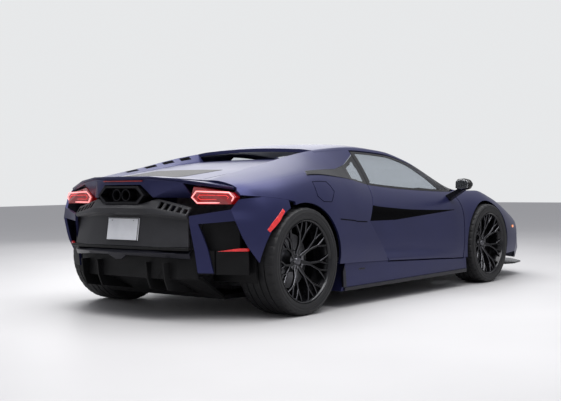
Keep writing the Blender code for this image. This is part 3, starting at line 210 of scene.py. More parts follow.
SIDES = (("left", 1), ("right", -1))
AXLES = {"front": (FRONT_AXLE_Y, FRONT_TYRE_R, FRONT_TYRE_W, FRONT_RIM_R, FRONT_TRACK / 2),
         "rear": (REAR_AXLE_Y, REAR_TYRE_R, REAR_TYRE_W, REAR_RIM_R, REAR_TRACK / 2)}


def tail_front(x):
    """Length y of the tail panel's front edge."""
    return float(np.interp(abs(x), *TAIL_EDGE))


def deck(r, y):
    """Point of the engine lid's skin: row 0 is the middle and row 1.8 its edge at the buttress."""
    z_mid, half, z_edge = (along(DECK, y, c) for c in (1, 2, 3))
    t = abs(r) / LID_EDGE
    return Vector((math.copysign(half * t, r), y, z_mid + (z_edge - z_mid) * t * t))


def quarter_skin(r, y):
    """The quarter's skin. Inside row 2 it is the buttress's inner wall, down to the engine lid."""
    if abs(r) >= RAIL:
        return skin(quarter_row(r, y), y)
    foot = deck(math.copysign(LID_EDGE, r), y)
    foot.x += math.copysign(LID_GAP, r)
    ridge = skin(math.copysign(RAIL, r), y)
    t = (abs(r) - BUTTRESS_FOOT) / (RAIL - BUTTRESS_FOOT)
    return foot.lerp(ridge, t)


# Share of a row number that makes SEAT_GAP between rows 2 and 3
ROW_SEAT = .0009
# Where the wing's upper rear edge runs from the cowl down to the door
TRIM_FRONT = seam([(RAIL, -1.000), (2.5, -0.950), (CREST, -0.804)])
LID_EDGE = 1.8
BUTTRESS_FOOT = 1.8
ROOF_EDGE = 2.08
# Shares of the quarter's length where its cross lines lie. The roof ends at the fourth.
QUARTER_LINES = [0, .09, .18, .28, .37, .46, .55, .64, .71, .78, .85, .92, 1]
ROOF_END_LINE = 3
WING_ROWS = [1.89, 2, 2.5, 3, 3.25, 3.6, 4, 4.5, 5]
HEADLAMP_ROWS = 5
BUMPER_START_LINE = 8
# The edges that the quarter's rows follow: lengths y, and the row number at each
BUMPER_LINE = ((1.50, 1.91), (3.60, 3.22))
TRIM_LINE = ((.36, .60, .784, 1.05, 1.225, 1.60), (2.20, 2.53, 2.715, 2.806, 2.835, 2.72))
BUMPER_ROW = 3.6
TRIM_ROW = 2.7
TRIM_START_LINE = 2
TRIM_END_LINE = 6
QUARTER_ROWS = [1.8, 2, 2.09, 2.4, TRIM_ROW, 2.85, 3, 3.3, BUMPER_ROW, 4, 4.33, 4.67, 5]
DOOR_ROWS = [3, 3.3, 3.6, 3.95, 4.35, 4.75, 4.95, 5]
# The channel along the door: y, the rows where its upper slope starts and ends, and its depth
CHANNEL = [(-.72, 3.78, 3.97, 0), (-.03, 3.71, 3.95, .024), (.55, 3.60, 3.95, .046)]
CHANNEL_ROWS = (3.6, 3.95)
CHANNEL_END = (4.75, 4.95)
# The painted shade in the channel, a black wedge where the recess lies in shadow: rows of its top and foot, and the
# length over which it grows
SHADE_TOP = 3.62
SHADE_FOOT = 3.98
SHADE_TAPER = .9
# Shares of the way from cowl to roof rear where the roof frame has its cross lines. The windscreen ends at the sixth.
ROOF_LINES = [0, .03, .16, .24, .32, .40, .47, .60, .74, .88, 1.0]
SCREEN_END_LINE = 6


def wing_front(r):
    """The front wing starts behind the headlamp above it and at the bumper beside it."""
    return (HEADLAMP_REAR(r) if abs(r) <= WING_ROWS[HEADLAMP_ROWS - 1] else WING_FRONT(r)) + SEAT_GAP


def wing_rear(r):
    """The front wing ends at the cowl above the crest and at the door below it."""
    return COWL(r) - SEAT_GAP if abs(r) < CREST else DOOR_FRONT(r) - DOOR_GAP / 2


def quarter_front(r):
    """The quarter starts at the side glass above the crest and at the door below it."""
    if abs(r) < CREST:
        return GLASS_REAR(max(abs(quarter_row(r, GLASS_REAR(RAIL))), RAIL)) + DOOR_GAP / 2
    return DOOR_REAR(r) + DOOR_GAP / 2


def quarter_row(r, y):
    """Row number of the body where the quarter's own row r lies: its rows follow the window trim and the bumper."""
    bumper = np.interp(y, *BUMPER_LINE)
    trim = np.interp(y, *TRIM_LINE)
    own = (RAIL, ROOF_EDGE, TRIM_ROW, CREST, BUMPER_ROW, LOW)
    return math.copysign(float(np.interp(abs(r), own, (RAIL, ROOF_EDGE, trim, CREST, bumper, LOW))), r)


def door_row(r, y):
    """Row number of the body where the door's own row r lies: two of its rows follow the channel's upper edge."""
    start, full = along(CHANNEL, y, 1), along(CHANNEL, y, 2)
    own = (CREST, *CHANNEL_ROWS, CHANNEL_END[0], LOW)
    return math.copysign(float(np.interp(abs(r), own, (CREST, start, full, CHANNEL_END[0], LOW))), r)


def trim_rear(line):
    """The quarter's own cross line with this number, less a seam gap, as the rear edge of the glass or trim."""
    share = QUARTER_LINES[line]
    return lambda r: quarter_front(r) + (TAIL_SEAM(r) - SEAT_GAP - quarter_front(r)) * share - SEAT_GAP


def roof_rear(r):
    """The roof ends at a cross line of the quarter, so that the two meet with a gap."""
    y0 = quarter_front(RAIL)
    y1 = TAIL_SEAM(RAIL) - SEAT_GAP
    return y0 + (y1 - y0) * QUARTER_LINES[ROOF_END_LINE] - SEAT_GAP


def screen_line(share, shift):
    """The windscreen's edge at a share of the roof frame's length."""
    return lambda r: COWL(r) + SEAT_GAP + (roof_rear(r) - COWL(r) - SEAT_GAP) * share + shift


# The left tail lamp's outline, lens included: x, z and y of its face
LAMP = [(.4855, .803, 1.984), (.532, .754, 1.964), (.800, .757, 1.948), (.826, .803, 1.926), (.792, .832, 1.930),
        (.62, .860, 1.972), (.530, .872, 2.005)]
# The left rear corner's columns from the crease inwards, top to bottom, each with its wall's direction in plan
REAR_CORNER = [
    ([(.848, 1.916, .790), (.817, 1.965, .725), (.845, 1.955, .653), (.867, 1.911, .544), (.883, 1.880, .486),
      (.908, 1.800, .381)], (-.8, -.6)),
    ([(.73, 1.99, .750), (.700, 2.018, .707), (.735, 1.995, .643), (.735, 1.98, .54), (.735, 1.97, .47),
      (.735, 1.95, .311)], (-.45, -1)),
    ([(.62, 2.04, .720), (.610, 2.060, .692), (.600, 2.041, .632), (.620, 2.010, .540), (.635, 1.990, .470),
      (.660, 1.964, .311)], (-.45, -1)),
    ([(.56, 2.07, .710), (.560, 2.083, .684), (.562, 2.080, .632), (.569, 2.065, .540), (.575, 2.050, .460),
      (.582, 2.029, .314)], (-.45, -1))]

# Edges sharper than this stay hard
SHARP_DEG = 32


def soft(r, y):
    """The skin with its row edges rounded, apart from where panels of different kinds meet."""
    a = abs(r)
    if a < RAIL:
        width = .5 * min(1.0, (1.9 - a) / .6) if a < 1.9 else 0.0
    else:
        width = .20 * min(1.0, (a - RAIL) / .5, (LOW - a) / .5)
        if y < .70:
            width = min(width, abs(a - CREST) * .8)
    if width <= 0:
        return skin(r, y)
    side = math.copysign(1, r)
    near = [skin(side * a + side * width * k, y) for k in (-1, -.5, 0, .5, 1)]
    return sum((p * w for p, w in zip(near, (.12, .24, .28, .24, .12))), Vector((0, 0, 0)))


def soft_quarter(r, y):
    """The quarter's smooth skin: rows inside the ridge and at the trim's edge stay as drawn."""
    return quarter_skin(r, y) if abs(r) < RAIL + .1 else soft(quarter_row(r, y), y)


def soft_door(r, y):
    """The door's smooth skin with its channel."""
    t = float(np.interp(abs(r), (*CHANNEL_ROWS, *CHANNEL_END), (0, 1, 1, 0)))
    point = soft(door_row(r, y), y)
    point.x -= math.copysign(along(CHANNEL, y, 3) * t * t * (3 - 2 * t), r)
    return point


# Steps into which each gap of the CAD panels' rows and lines is cut
FINE = 4


def finer(values, k):
    """The numbers with each gap cut into k."""
    return [a + (b - a) * i / k for a, b in zip(values, values[1:]) for i in range(k)] + [values[-1]]


def placed(name, data):
    """An object for a mesh, curve, lamp or camera, put into the scene."""
    obj = bpy.data.objects.new(name, data)
    bpy.context.scene.collection.objects.link(obj)
    return obj


def make(name, bm, look, body="body", nodes=(), angle=SHARP_DEG, moved=True):
    """A piece from a bmesh drawn in the tables' frame. It rides on a body and may stand for CAD nodes."""
    bmesh.ops.recalc_face_normals(bm, faces=bm.faces)
    if moved:
        bmesh.ops.translate(bm, vec=(0, -MIDDLE_Y, 0), verts=bm.verts)
    mesh = bpy.data.meshes.new(name)
    bm.to_mesh(mesh)
    bm.free()
    mesh.shade_smooth()
    mesh.set_sharp_from_angle(angle=math.radians(angle))
    mesh.materials.append(look)
    obj = placed(name, mesh)
    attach(obj, body)
    if nodes:
        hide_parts(*nodes)
    return obj


def ringed(bm, rings, closed=False):
    """Faces between rings of as many points each, closed to a hoop or with both ends filled."""
    n = len(rings[0])
    faces = [bm.faces.new((here[i], here[(i + 1) % n], there[(i + 1) % n], there[i]))
             for here, there in zip(rings, rings[1:] + rings[:1] if closed else rings[1:]) for i in range(n)]
    if not closed:
        bm.faces.new(rings[0][::-1])
        bm.faces.new(rings[-1])
    return faces


def plate(name, grid, depth, look, body="body"):
    """A thin closed plate between a grid of points and the same grid moved by depth."""
    bm = bmesh.new()
    thick_grid(bm, grid, [[p + Vector(depth) for p in line] for line in grid])
    return make(name, bm, look, body)


def slab(name, outline, push, look, body="body", width=.002):
    """An outline of points pushed by a vector, with rounded edges."""
    bm = bmesh.new()
    ringed(bm, [[bm.verts.new(Vector(p) + Vector(v)) for p in outline] for v in ((0, 0, 0), push)])
    return bevel(make(name, bm, look, body), width)


def bevel(obj, width):
    mod = obj.modifiers.new("bevel", "BEVEL")
    mod.width = width
    mod.segments = 2
    mod.limit_method = "ANGLE"
    mod.angle_limit = math.radians(30)
    mod.harden_normals = True
    return obj


def opened(obj, cutter):
    """Cuts a helper out of a piece, for good, and removes the helper."""
    mod = obj.modifiers.new("arch", "BOOLEAN")
    mod.object = cutter
    mod.solver = "EXACT"
    graph = bpy.context.evaluated_depsgraph_get()
    mesh = bpy.data.meshes.new_from_object(obj.evaluated_get(graph))
    obj.modifiers.clear()
    obj.data = mesh
    mesh.set_sharp_from_angle(angle=math.radians(SHARP_DEG))
    bpy.data.objects.remove(cutter)


def panel(name, look, nodes, body, rs, front, rear, cols, wall, shape=soft, skip=None, ys=None, inset=0):
    """A smooth panel between two seams: the CAD panel's rows and lines, each gap cut into FINE."""
    outer, inner = [], []
    lines = finer(ys or [j / cols for j in range(cols + 1)], FINE)
    for r in finer(rs, FINE):
        y0, y1 = front(r), rear(r)
        outer.append([shape(r, y0 + (y1 - y0) * t) for t in lines])
        inner.append([p + inward(r) * wall for p in outer[-1]])
        inner[-1][-1].y -= inset
    bm = bmesh.new()
    thick_grid(bm, outer, inner, (lambda i, j: skip(i // FINE, j // FINE)) if skip else None)
    return make(name, bm, look, body, nodes)


# Columns of the rear corner's side, before the turn to the tail
SIDE_COLS = 5


def build_corner(tag, side):
    """The rear corner: the side behind the arch, the band over the vent and the pillar inside it."""
    cols, dirs = [], []
    for y in [1.56 + .05 * j for j in range(SIDE_COLS)]:
        rows = finer([quarter_row(BUMPER_ROW, y), 3.75, 4, 4.33, 4.6, 5], FINE)
        cols.append([soft(side * r, y) for r in rows])
        dirs.append([inward(side * r) for r in rows])
    last_side, last_dir = cols[-1], dirs[-1]
    for line, way in REAR_CORNER:
        points = [Vector((side * x, y, z)) for x, y, z in line]
        goal = [a.lerp(b, i / FINE) for a, b in zip(points, points[1:]) for i in range(FINE)] + points[-1:]
        if len(cols) == SIDE_COLS:
            cols += [[a.lerp(b, t) for a, b in zip(last_side, goal)] for t in (.25, .5, .75)]
            dirs += [last_dir] * 3
        cols.append(goal)
        dirs.append([Vector((side * way[0], way[1], 0)).normalized()] * len(goal))
    for line in cols:
        line[0].z -= SEAT_GAP * 3
    bm = bmesh.new()
    inner = [[p + d.normalized() * SKIN for p, d in zip(line, way)] for line, way in zip(cols, dirs)]
    first = SIDE_COLS + 3
    thick_grid(bm, cols, inner, lambda i, j: i >= first and (j < FINE or (i < first + 2 and j >= 2 * FINE)))
    opened(make(f"skin_rear_corner_{tag}", bm, PAINT, "body", (f"rear_corner_{tag}",)),
           arch_cutter("rear", side))


def arch_cutter(axle, side):
    """A round helper that opens the wheel arch of one side."""
    y, tyre_r, _, _, half_track = AXLES[axle]
    bm = bmesh.new()
    bmesh.ops.create_cone(bm, cap_ends=True, segments=128, radius1=tyre_r + ARCH_GAP, radius2=tyre_r + ARCH_GAP,
                          depth=.62)
    place = Matrix.Translation((side * (half_track + .05), y - MIDDLE_Y, tyre_r))
    bmesh.ops.transform(bm, matrix=place @ Matrix.Rotation(math.pi / 2, 4, "Y"), verts=bm.verts)
    mesh = bpy.data.meshes.new("arch")
    bm.to_mesh(mesh)
    bm.free()
    return placed("arch", mesh)


def rounded(node, look, width):
    """A copy of a CAD node with its edges rounded, standing for the node."""
    bm = bmesh.new()
    bm.from_mesh(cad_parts[node].data)
    bmesh.ops.remove_doubles(bm, verts=bm.verts, dist=1e-5)
    bmesh.ops.dissolve_limit(bm, angle_limit=math.radians(.6), verts=bm.verts, edges=bm.edges)
    bevel(make(f"look_{node}", bm, look, body_for(node), (node,), moved=False), width)


def body_for(node):
    """The body that a CAD node rides on."""
    side = node.rsplit("_", 1)[-1]
    if node.startswith(("door", "mirror")):
        return f"door_{side}"
    if node.startswith(("tyre", "wheel")):
        return f"wheel_{node.split('_', 1)[1]}"
    if node.startswith("knuckle"):
        return f"steer_{side}"
    return node if node in ("front_lid", "engine_lid", "steering_wheel") else "body"


def shader(tree, kind, **values):
    """A new shader node of a kind, with its inputs set by name."""
    made = tree.nodes.new("ShaderNode" + kind)
    for name, value in values.items():
        made.inputs[name.replace("_", " ")].default_value = value
    return made


def new_material(name):
    made = bpy.data.materials.new(name)
    made.use_nodes = True
    return made, made.node_tree


def blotches(tree, scale, colours, **noise_values):
    """A broad noise and the colour ramp that it drives."""
    noise = shader(tree, "TexNoise", Scale=scale, **noise_values)
    ramp = shader(tree, "ValToRGB")
    for end, colour in zip(ramp.color_ramp.elements, colours):
        end.color = (*colour, 1)
    tree.links.new(noise.outputs["Fac"], ramp.inputs["Fac"])
    return noise, ramp


def finish(name, colour, rough, metallic=0.0, coat=0.0, vary=.12, scale=30.0, bump=0.0, grain=900.0, glow=None,
           specular=.5):
    """A material whose colour and roughness drift with a broad noise, and whose grain comes from a fine one."""
    made, tree = new_material(name)
    link = tree.links.new
    main = tree.nodes["Principled BSDF"].inputs
    for socket, value in (("Metallic", metallic), ("Coat Weight", coat), ("Coat Roughness", .08),
                          ("Specular IOR Level", specular)):
        main[socket].default_value = value
    where = shader(tree, "TexCoord")
    noise, ramp = blotches(tree, scale, [[min(1, c * k) for c in colour] for k in (1 - vary, 1 + vary)], Detail=4)
    ramp.color_ramp.elements[0].position = .3
    ramp.color_ramp.elements[1].position = .7
    link(where.outputs["Object"], noise.inputs["Vector"])
    link(ramp.outputs["Color"], main["Base Color"])
    drift = shader(tree, "MapRange", To_Min=rough * .88, To_Max=rough * 1.12)
    link(noise.outputs["Fac"], drift.inputs["Value"])
    link(drift.outputs["Result"], main["Roughness"])
    if bump:
        fine = shader(tree, "TexNoise", Scale=grain)
        link(where.outputs["Object"], fine.inputs["Vector"])
        relief = shader(tree, "Bump", Strength=bump, Distance=.001)
        link(fine.outputs["Fac"], relief.inputs["Height"])
        link(relief.outputs["Normal"], main["Normal"])
    if glow:
        main["Emission Color"].default_value = (*glow[0], 1)
        main["Emission Strength"].default_value = glow[1]
    return made


def glass_finish(name, tint):
    """Tinted glass: it lets the light through, and shines by its angle to the eye."""
    made, tree = new_material(name)
    link = tree.links.new
    tree.nodes.remove(tree.nodes["Principled BSDF"])
    _, ramp = blotches(tree, 6, [[c * .95 for c in tint], tint])
    clear = shader(tree, "BsdfTransparent")
    link(ramp.outputs["Color"], clear.inputs["Color"])
    shine = shader(tree, "BsdfGlossy", Roughness=.03)
    edge = shader(tree, "LayerWeight", Blend=.5)
    steep = shader(tree, "Math")
    steep.operation = "POWER"
    steep.inputs[1].default_value = 4
    link(edge.outputs["Facing"], steep.inputs[0])
    share = shader(tree, "MapRange", To_Min=.02, To_Max=.40)
    link(steep.outputs["Value"], share.inputs["Value"])
    mix = shader(tree, "MixShader")
    link(share.outputs["Result"], mix.inputs["Fac"])
    link(clear.outputs["BSDF"], mix.inputs[1])
    link(shine.outputs["BSDF"], mix.inputs[2])
    link(mix.outputs["Shader"], tree.nodes["Material Output"].inputs["Surface"])
    return made


PAINT = finish("paint_satin_blue", (.018, .020, .072), .38, metallic=.62, vary=.06, scale=3, bump=.05, grain=2600)
PAINT_DARK = finish("paint_satin_dark", (.006, .006, .012), .34, metallic=.5, vary=.10, scale=5, bump=.05, grain=2600)
GLOSS = finish("gloss_black", (.0035, .0035, .004), .24, coat=.06, vary=.2, scale=8, specular=.25)
PLASTIC = finish("black_plastic", (.004, .004, .0045), .55, vary=.25, scale=14, bump=.35, specular=.18)
GREY = finish("grey_plastic", (.020, .020, .023), .44, scale=10, bump=.25, specular=.35)
RUBBER = finish("tyre_rubber", (.008, .008, .009), .56, vary=.25, scale=22, bump=.45, grain=420, specular=.3)
ALLOY = finish("wheel_black", (.008, .008, .010), .24, metallic=.6, coat=.3, vary=.2, scale=20)
# Lighter metal: a painted highlight along the spokes' edges, and also the centre cap
EDGE_HIGHLIGHT_AND_CAP = finish("wheel_edge_highlight_and_cap", (.09, .09, .10), .30, metallic=.90, vary=.15, scale=40)
POCKET = finish("wheel_pocket", (.006, .006, .007), .48, metallic=.3, vary=.25, scale=30)
STEEL = finish("brushed_steel", (.16, .16, .17), .34, metallic=1, vary=.18, scale=60, bump=.2, grain=700)
CAST = finish("cast_metal", (.16, .16, .17), .52, metallic=.9, vary=.25, scale=26, bump=.5, grain=300)
DARK_STEEL = finish("dark_steel", (.020, .020, .023), .34, metallic=.8, vary=.2, scale=30, bump=.15, grain=600)
LEATHER = finish("leather", (.020, .019, .021), .50, vary=.2, scale=18, bump=.7, grain=520)
RED = finish("lamp_red", (.20, .003, .006), .14, coat=.8, vary=.3, scale=30, glow=((1, .01, .01), .07))
RED_GLOW = finish("lamp_glow", (.9, .25, .25), .3, vary=.1, scale=60, glow=((1, .33, .33), 1.25))
SMOKED = finish("lamp_smoked", (.012, .012, .014), .09, coat=1, vary=.3, scale=18)
WHITE_GLOW = finish("lamp_white", (.9, .9, .9), .3, vary=.05, scale=30, glow=((.9, .95, 1), 2.0))
AMBER = finish("lamp_amber", (.85, .22, .02), .2, coat=1, vary=.15, scale=60, glow=((1, .25, .02), .6))
PLATE = finish("plate_white", (.62, .63, .66), .38, vary=.05, scale=12, bump=.1, grain=300)
MIRROR = finish("mirror_glass", (.70, .72, .75), .03, metallic=1, vary=.03, scale=6)
# Near black: the shut lines and slots, and also the painted shade in the door's channel
VOID_AND_SHADE = finish("shut_line_and_painted_shade", (.0015, .0015, .002), .9, vary=.3, scale=30, specular=.04)
TINT = glass_finish("window_tint", (.86, .88, .90))
MESH = finish("engine_mesh_black", (.006, .006, .007), .60, vary=.8, scale=160, bump=1.0, grain=190)
# Glowing red: the side markers are lamps, and on the reflectors the same glow is a painted highlight
RED_SIDE = finish("marker_red_and_reflector_highlight", (.42, .012, .014), .22, coat=.6, vary=.6, scale=38, glow=((1, .03, .03), .22))
RED_DIM = finish("brake_strip_red", (.16, .004, .005), .22, coat=.6, vary=.3, scale=60, glow=((1, .02, .02), .06))
RED_LINE = finish("lamp_line", (.75, .03, .03), .25, coat=1, vary=.1, scale=60, glow=((1, .03, .03), .55))


def edged(pane, rear, top, foot, front=.012):
    """The printed black edge round a side window: the faces within these widths of its outline."""
    bm = bmesh.new()
    bm.from_mesh(pane.data)
    rim = [[v.co.copy() for v in edge.verts] for edge in bm.edges
           if len(edge.link_faces) == 2 and edge.calc_face_angle(0) > 1.0]
    bmesh.ops.subdivide_edges(bm, edges=list(bm.edges), cuts=2, use_grid_fill=True)
    for face in bm.faces:
        at = face.calc_center_median()
        for a, b in rim:
            run = b - a
            near = a.lerp(b, min(1.0, max(0.0, (at - a).dot(run) / max(run.length_squared, 1e-12))))
            if abs(run.z) > abs(run.y) * 1.1:
                width = front if near.y < at.y else rear
            else:
                width = foot if near.z < at.z else top
            if (at - near).length < width:
                face.material_index = 1
                break
    bm.to_mesh(pane.data)
    bm.free()
    pane.data.materials.append(GLOSS)


def paint_channel_shade(door, side):
    """The painted shade along the door, a black wedge where the channel lies in shadow: cut out along its lower edges,
    then painted between its bounds.
    """
    tip, knee = CHANNEL[0][0], CHANNEL[0][0] + SHADE_TAPER
    high, low = soft_door(side * SHADE_TOP, tip).z, soft_door(side * SHADE_FOOT, knee).z
    slope = (low - high) / SHADE_TAPER
    fall = (soft_door(side * SHADE_FOOT, knee + .3).z - low) / .3
    bm = bmesh.new()
    bm.from_mesh(door.data)
    for start, drop in ((high - slope * tip, slope), (low - fall * knee, fall)):
        bmesh.ops.bisect_plane(bm, geom=[*bm.verts, *bm.edges, *bm.faces], plane_co=(0, -MIDDLE_Y, start),
                               plane_no=(0, -drop, 1))
    for face in bm.faces:
        at = face.calc_center_median()
        y = at.y + MIDDLE_Y
        foot = max(high + slope * (y - tip), low + fall * (y - knee))
        if y > tip and foot < at.z < soft_door(side * SHADE_TOP, y).z:
            face.material_index = 1
    bm.to_mesh(door.data)
    bm.free()
    door.data.materials.append(VOID_AND_SHADE)


def shares(lines, first, last):
    """Cross lines first to last as shares of the way between the two."""
    start, end = lines[first], lines[last]
    return [(share - start) / (end - start) for share in lines[first:last + 1]]


def build_panels():
    """The painted skin, the windows and their trim, smooth and with real walls."""
    door_half, lid_half = DOOR_GAP / 2, LID_GAP / 2
    bevel(panel("skin_front_lid", PAINT, ("front_lid",), "front_lid",
                spread([-1.86, -1, 0, 1, 1.86], [2, 2, 2, 2]), offset(LID_FRONT, lid_half + .004),
                offset(COWL, -lid_half), 9, LID_WALL), .002)
    for tag, side in SIDES:
        def rows(rs):
            return [side * r for r in rs]

        window_rows = rows([TRIM_ROW + .004, 2.85, CREST - ROW_SEAT])
        opened(panel(f"skin_front_wing_{tag}", PAINT, (f"front_wing_{tag}",), "body", rows(WING_ROWS),
                     wing_front, wing_rear, 10, SKIN), arch_cutter("front", side))
        bevel(panel(f"lens_headlamp_{tag}", SMOKED, (f"headlamp_{tag}",), "body",
                    rows(WING_ROWS[:HEADLAMP_ROWS]), offset(WING_FRONT, SEAT_GAP),
                    offset(HEADLAMP_REAR, -SEAT_GAP), 3, SKIN), .0015)
        # The door, with the painted shade laid into its channel
        paint_channel_shade(bevel(panel(f"skin_door_{tag}", PAINT, (f"door_{tag}",), f"door_{tag}",
                                  rows(DOOR_ROWS), lambda r: DOOR_FRONT(door_row(r, DOOR_FRONT(r))) + door_half,
                                  lambda r: DOOR_REAR(r) - door_half, 10, DOOR_WALL, soft_door, inset=.012), .002),
                      side)
        edged(panel(f"pane_door_{tag}", TINT, (f"door_glass_{tag}",), f"door_{tag}",
                    rows([2.12, 2.4, 2.7, CREST - ROW_SEAT]), GLASS_FRONT, offset(GLASS_REAR, -door_half), 10,
                    GLASS, skin), .045, .016, .022)
        edged(panel(f"pane_quarter_{tag}", TINT, (f"quarter_glass_{tag}",), "body", window_rows,
                    quarter_front, trim_rear(TRIM_START_LINE), 0, GLASS, quarter_skin,
                    ys=shares(QUARTER_LINES, 0, TRIM_START_LINE)), .040, .030, .020, front=.045)
        bevel(panel(f"trim_window_{tag}", GLOSS, (f"window_trim_{tag}",), "body", window_rows,
                    offset(trim_rear(TRIM_START_LINE), 2 * SEAT_GAP), trim_rear(TRIM_END_LINE), 0, SKIN,
                    quarter_skin, ys=shares(QUARTER_LINES, TRIM_START_LINE, TRIM_END_LINE)), .002)
        bevel(panel(f"trim_pillar_{tag}", GLOSS, (f"pillar_trim_{tag}",), "body",
                    rows([ROOF_EDGE + .015, 2.5, CREST - ROW_SEAT]), offset(TRIM_FRONT, GAP / 2),
                    offset(GLASS_FRONT, -GAP / 2), 3, .012, skin), .002)
        opened(panel(f"skin_rear_quarter_{tag}", PAINT, (f"rear_quarter_{tag}",), "body",
                     rows(QUARTER_ROWS), quarter_front, offset(TAIL_SEAM, -SEAT_GAP), 0, SKIN, soft_quarter,
                     skip=lambda i, j: (i < 2 and j < ROOF_END_LINE) or (4 <= i < 6 and j < TRIM_END_LINE)
                     or (i >= 8 and j >= BUMPER_START_LINE), ys=QUARTER_LINES), arch_cutter("rear", side))
        build_corner(tag, side)
    panel("skin_roof", PAINT, ("roof",), "body",
          spread([-ROOF_EDGE, -1.9, -1, 0, 1, 1.9, ROOF_EDGE], [1, 2, 3, 3, 2, 1]), offset(COWL, SEAT_GAP),
          roof_rear, 0, ROOF_WALL, skip=lambda i, j: 1 <= i <= 10 and 1 <= j < SCREEN_END_LINE, ys=ROOF_LINES)
    panel("pane_windscreen", TINT, ("windscreen",), "body",
          spread([-1.895, -1, 0, 1, 1.895], [3, 3, 3, 3]), screen_line(ROOF_LINES[1], SEAT_GAP * 2),
          screen_line(ROOF_LINES[SCREEN_END_LINE], -SEAT_GAP * 2), 0, GLASS, ys=shares(ROOF_LINES, 1, SCREEN_END_LINE))
    edge = LID_EDGE - .001
    bevel(panel("skin_engine_lid", PAINT, ("engine_lid",), "engine_lid", spread([-edge, 0, edge], [4, 4]),
                lambda r: roof_rear(r) + LID_GAP, lambda r: tail_front(deck(r, 2.05).x) - LID_GAP, 8, LID_WALL,
                deck), .002)


# CAD nodes that stay in shape: node, finish, the record's slot, edge radius
ROUNDED = [("front_bumper", PAINT, "paint", .004), ("tail_panel", PAINT, "paint", .003),
           ("rear_lower_panel", PAINT_DARK, "paint", .004), ("side_skirt", PAINT, "paint", .006),
           ("rear_bridge", GREY, "gloss_trim", .0015), ("rear_blade", GLOSS, "gloss_trim", .003),
           ("front_splitter", GLOSS, "gloss_trim", .004),
           ("rear_fascia", GREY, "grey_plastic", .003), ("number_plate", PLATE, "plate", .0015),
           ("diffuser", PLASTIC, "black_plastic", .002), ("exhaust_finisher", DARK_STEEL, "cast_metal", .0025),
           ("front_grille", PLASTIC, "black_plastic", .001), ("mirror", GLOSS, "gloss_trim", .005),
           ("tail_lamp", RED, "tail_lamp", .003), ("dashboard", LEATHER, "cabin_trim", .012),
           ("steering_wheel", LEATHER, "cabin_trim", .004), ("engine_block", CAST, "cast_metal", .012)]
PAIRED = ("side_skirt", "mirror", "tail_lamp")
# CAD nodes that are shown as they are, with a better finish
PLAIN = [("tub", PLASTIC), ("boot_tub", PLASTIC), ("front_suspension", CAST), ("rear_suspension", CAST),
         ("knuckle_front_left", CAST), ("knuckle_front_right", CAST)]


def build_rounded():
    """The CAD nodes that keep their shape: rounded copies of some, and finishes for the rest."""
    for node, look, slot, width in ROUNDED:
        for tag in (("_left", "_right") if node in PAIRED else ("",)):
            rounded(node + tag, look, width)
    for node, look in PLAIN:
        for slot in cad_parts[node].material_slots:
            slot.material = look


def round_wheel(centre, side, a, radius, x):
    """A point at an angle and a radius about a wheel's axle, and x outwards from its middle."""
    return centre[0] + side * x, centre[1] + radius * math.cos(a), centre[2] + radius * math.sin(a)


def turned(profile, centre, side, steps, shift=lambda k, i: 0):
    """A bmesh ring from (radius, x) pairs. shift(k, i) moves a point's radius."""
    bm = bmesh.new()
    rings = [[bm.verts.new(round_wheel(centre, side, 2 * math.pi * k / steps, r + shift(k, i), x))
              for i, (r, x) in enumerate(profile)] for k in range(steps)]
    ringed(bm, rings, closed=True)
    return bm


# How far inside the wheel's middle the hub's face lies
HUB_INSET = {"front": .061, "rear": .035}
TREAD_STEPS = 180
GROOVES = (-.52, -.18, .18, .52)
GROOVE_HALF = .030
GROOVE_DEEP = .007


def tyre_profile(bead, tyre_r, half):
    """(radius, x) from the inner bead over the tread to the outer one, and which points lie on the shoulders."""
    side = [(bead, .90), (bead + .006, .955), (bead + .016, .985), (bead + .030, .995), (bead + .036, .982),
            (bead + .050, 1.0), (tyre_r - .030, .985), (tyre_r - .016, .955), (tyre_r - .006, .89)]
    tread = [(tyre_r - .002, -.80), (tyre_r - .001, -.70)]
    for g in GROOVES:
        tread += [(tyre_r, g - GROOVE_HALF), (tyre_r - GROOVE_DEEP, g - GROOVE_HALF * .7),
                  (tyre_r - GROOVE_DEEP, g + GROOVE_HALF * .7), (tyre_r, g + GROOVE_HALF)]
    tread += [(tyre_r - .001, .70), (tyre_r - .002, .80)]
    points = [(r, -x) for r, x in side] + tread + side[::-1]
    shoulder = {i for i, (r, x) in enumerate(points) if .60 < abs(x) < .95 and r > tyre_r - .012}
    return [(r, x * half) for r, x in points], shoulder


SPOKES = 7
SPOKE_D = .020
DISH = .062
HUB_R = .056


def polar(radius, angle):
    return radius * math.cos(angle), radius * math.sin(angle)


# The bars of one spoke: radius, angle as a share of the step and half width at each end, radii for a 0.28 m rim
BARS = [((.040, 0, .0150), (.120, 0, .0105)),
        ((.108, .02, .0075), (.196, .17, .0070)), ((.108, -.02, .0075), (.196, -.17, .0070)),
        ((.190, .165, .0062), (.272, .09, .0060)), ((.190, -.165, .0062), (.272, -.09, .0060)),
        ((.188, .165, .0062), (.272, .36, .0060)), ((.188, -.165, .0062), (.272, -.36, .0060))]
# A bar's section: shares of its half width and depths. BAR_LOOKS gives the faces that carry a painted highlight along
# the edges (2) or are grooved (1).
BAR_SECTION = ((-1, -SPOKE_D), (1, -SPOKE_D), (1, -.0030), (.72, 0), (.55, -.0022), (-.55, -.0022), (-.72, 0),
               (-1, -.0030))
BAR_LOOKS = {2: 2, 4: 1, 6: 2}


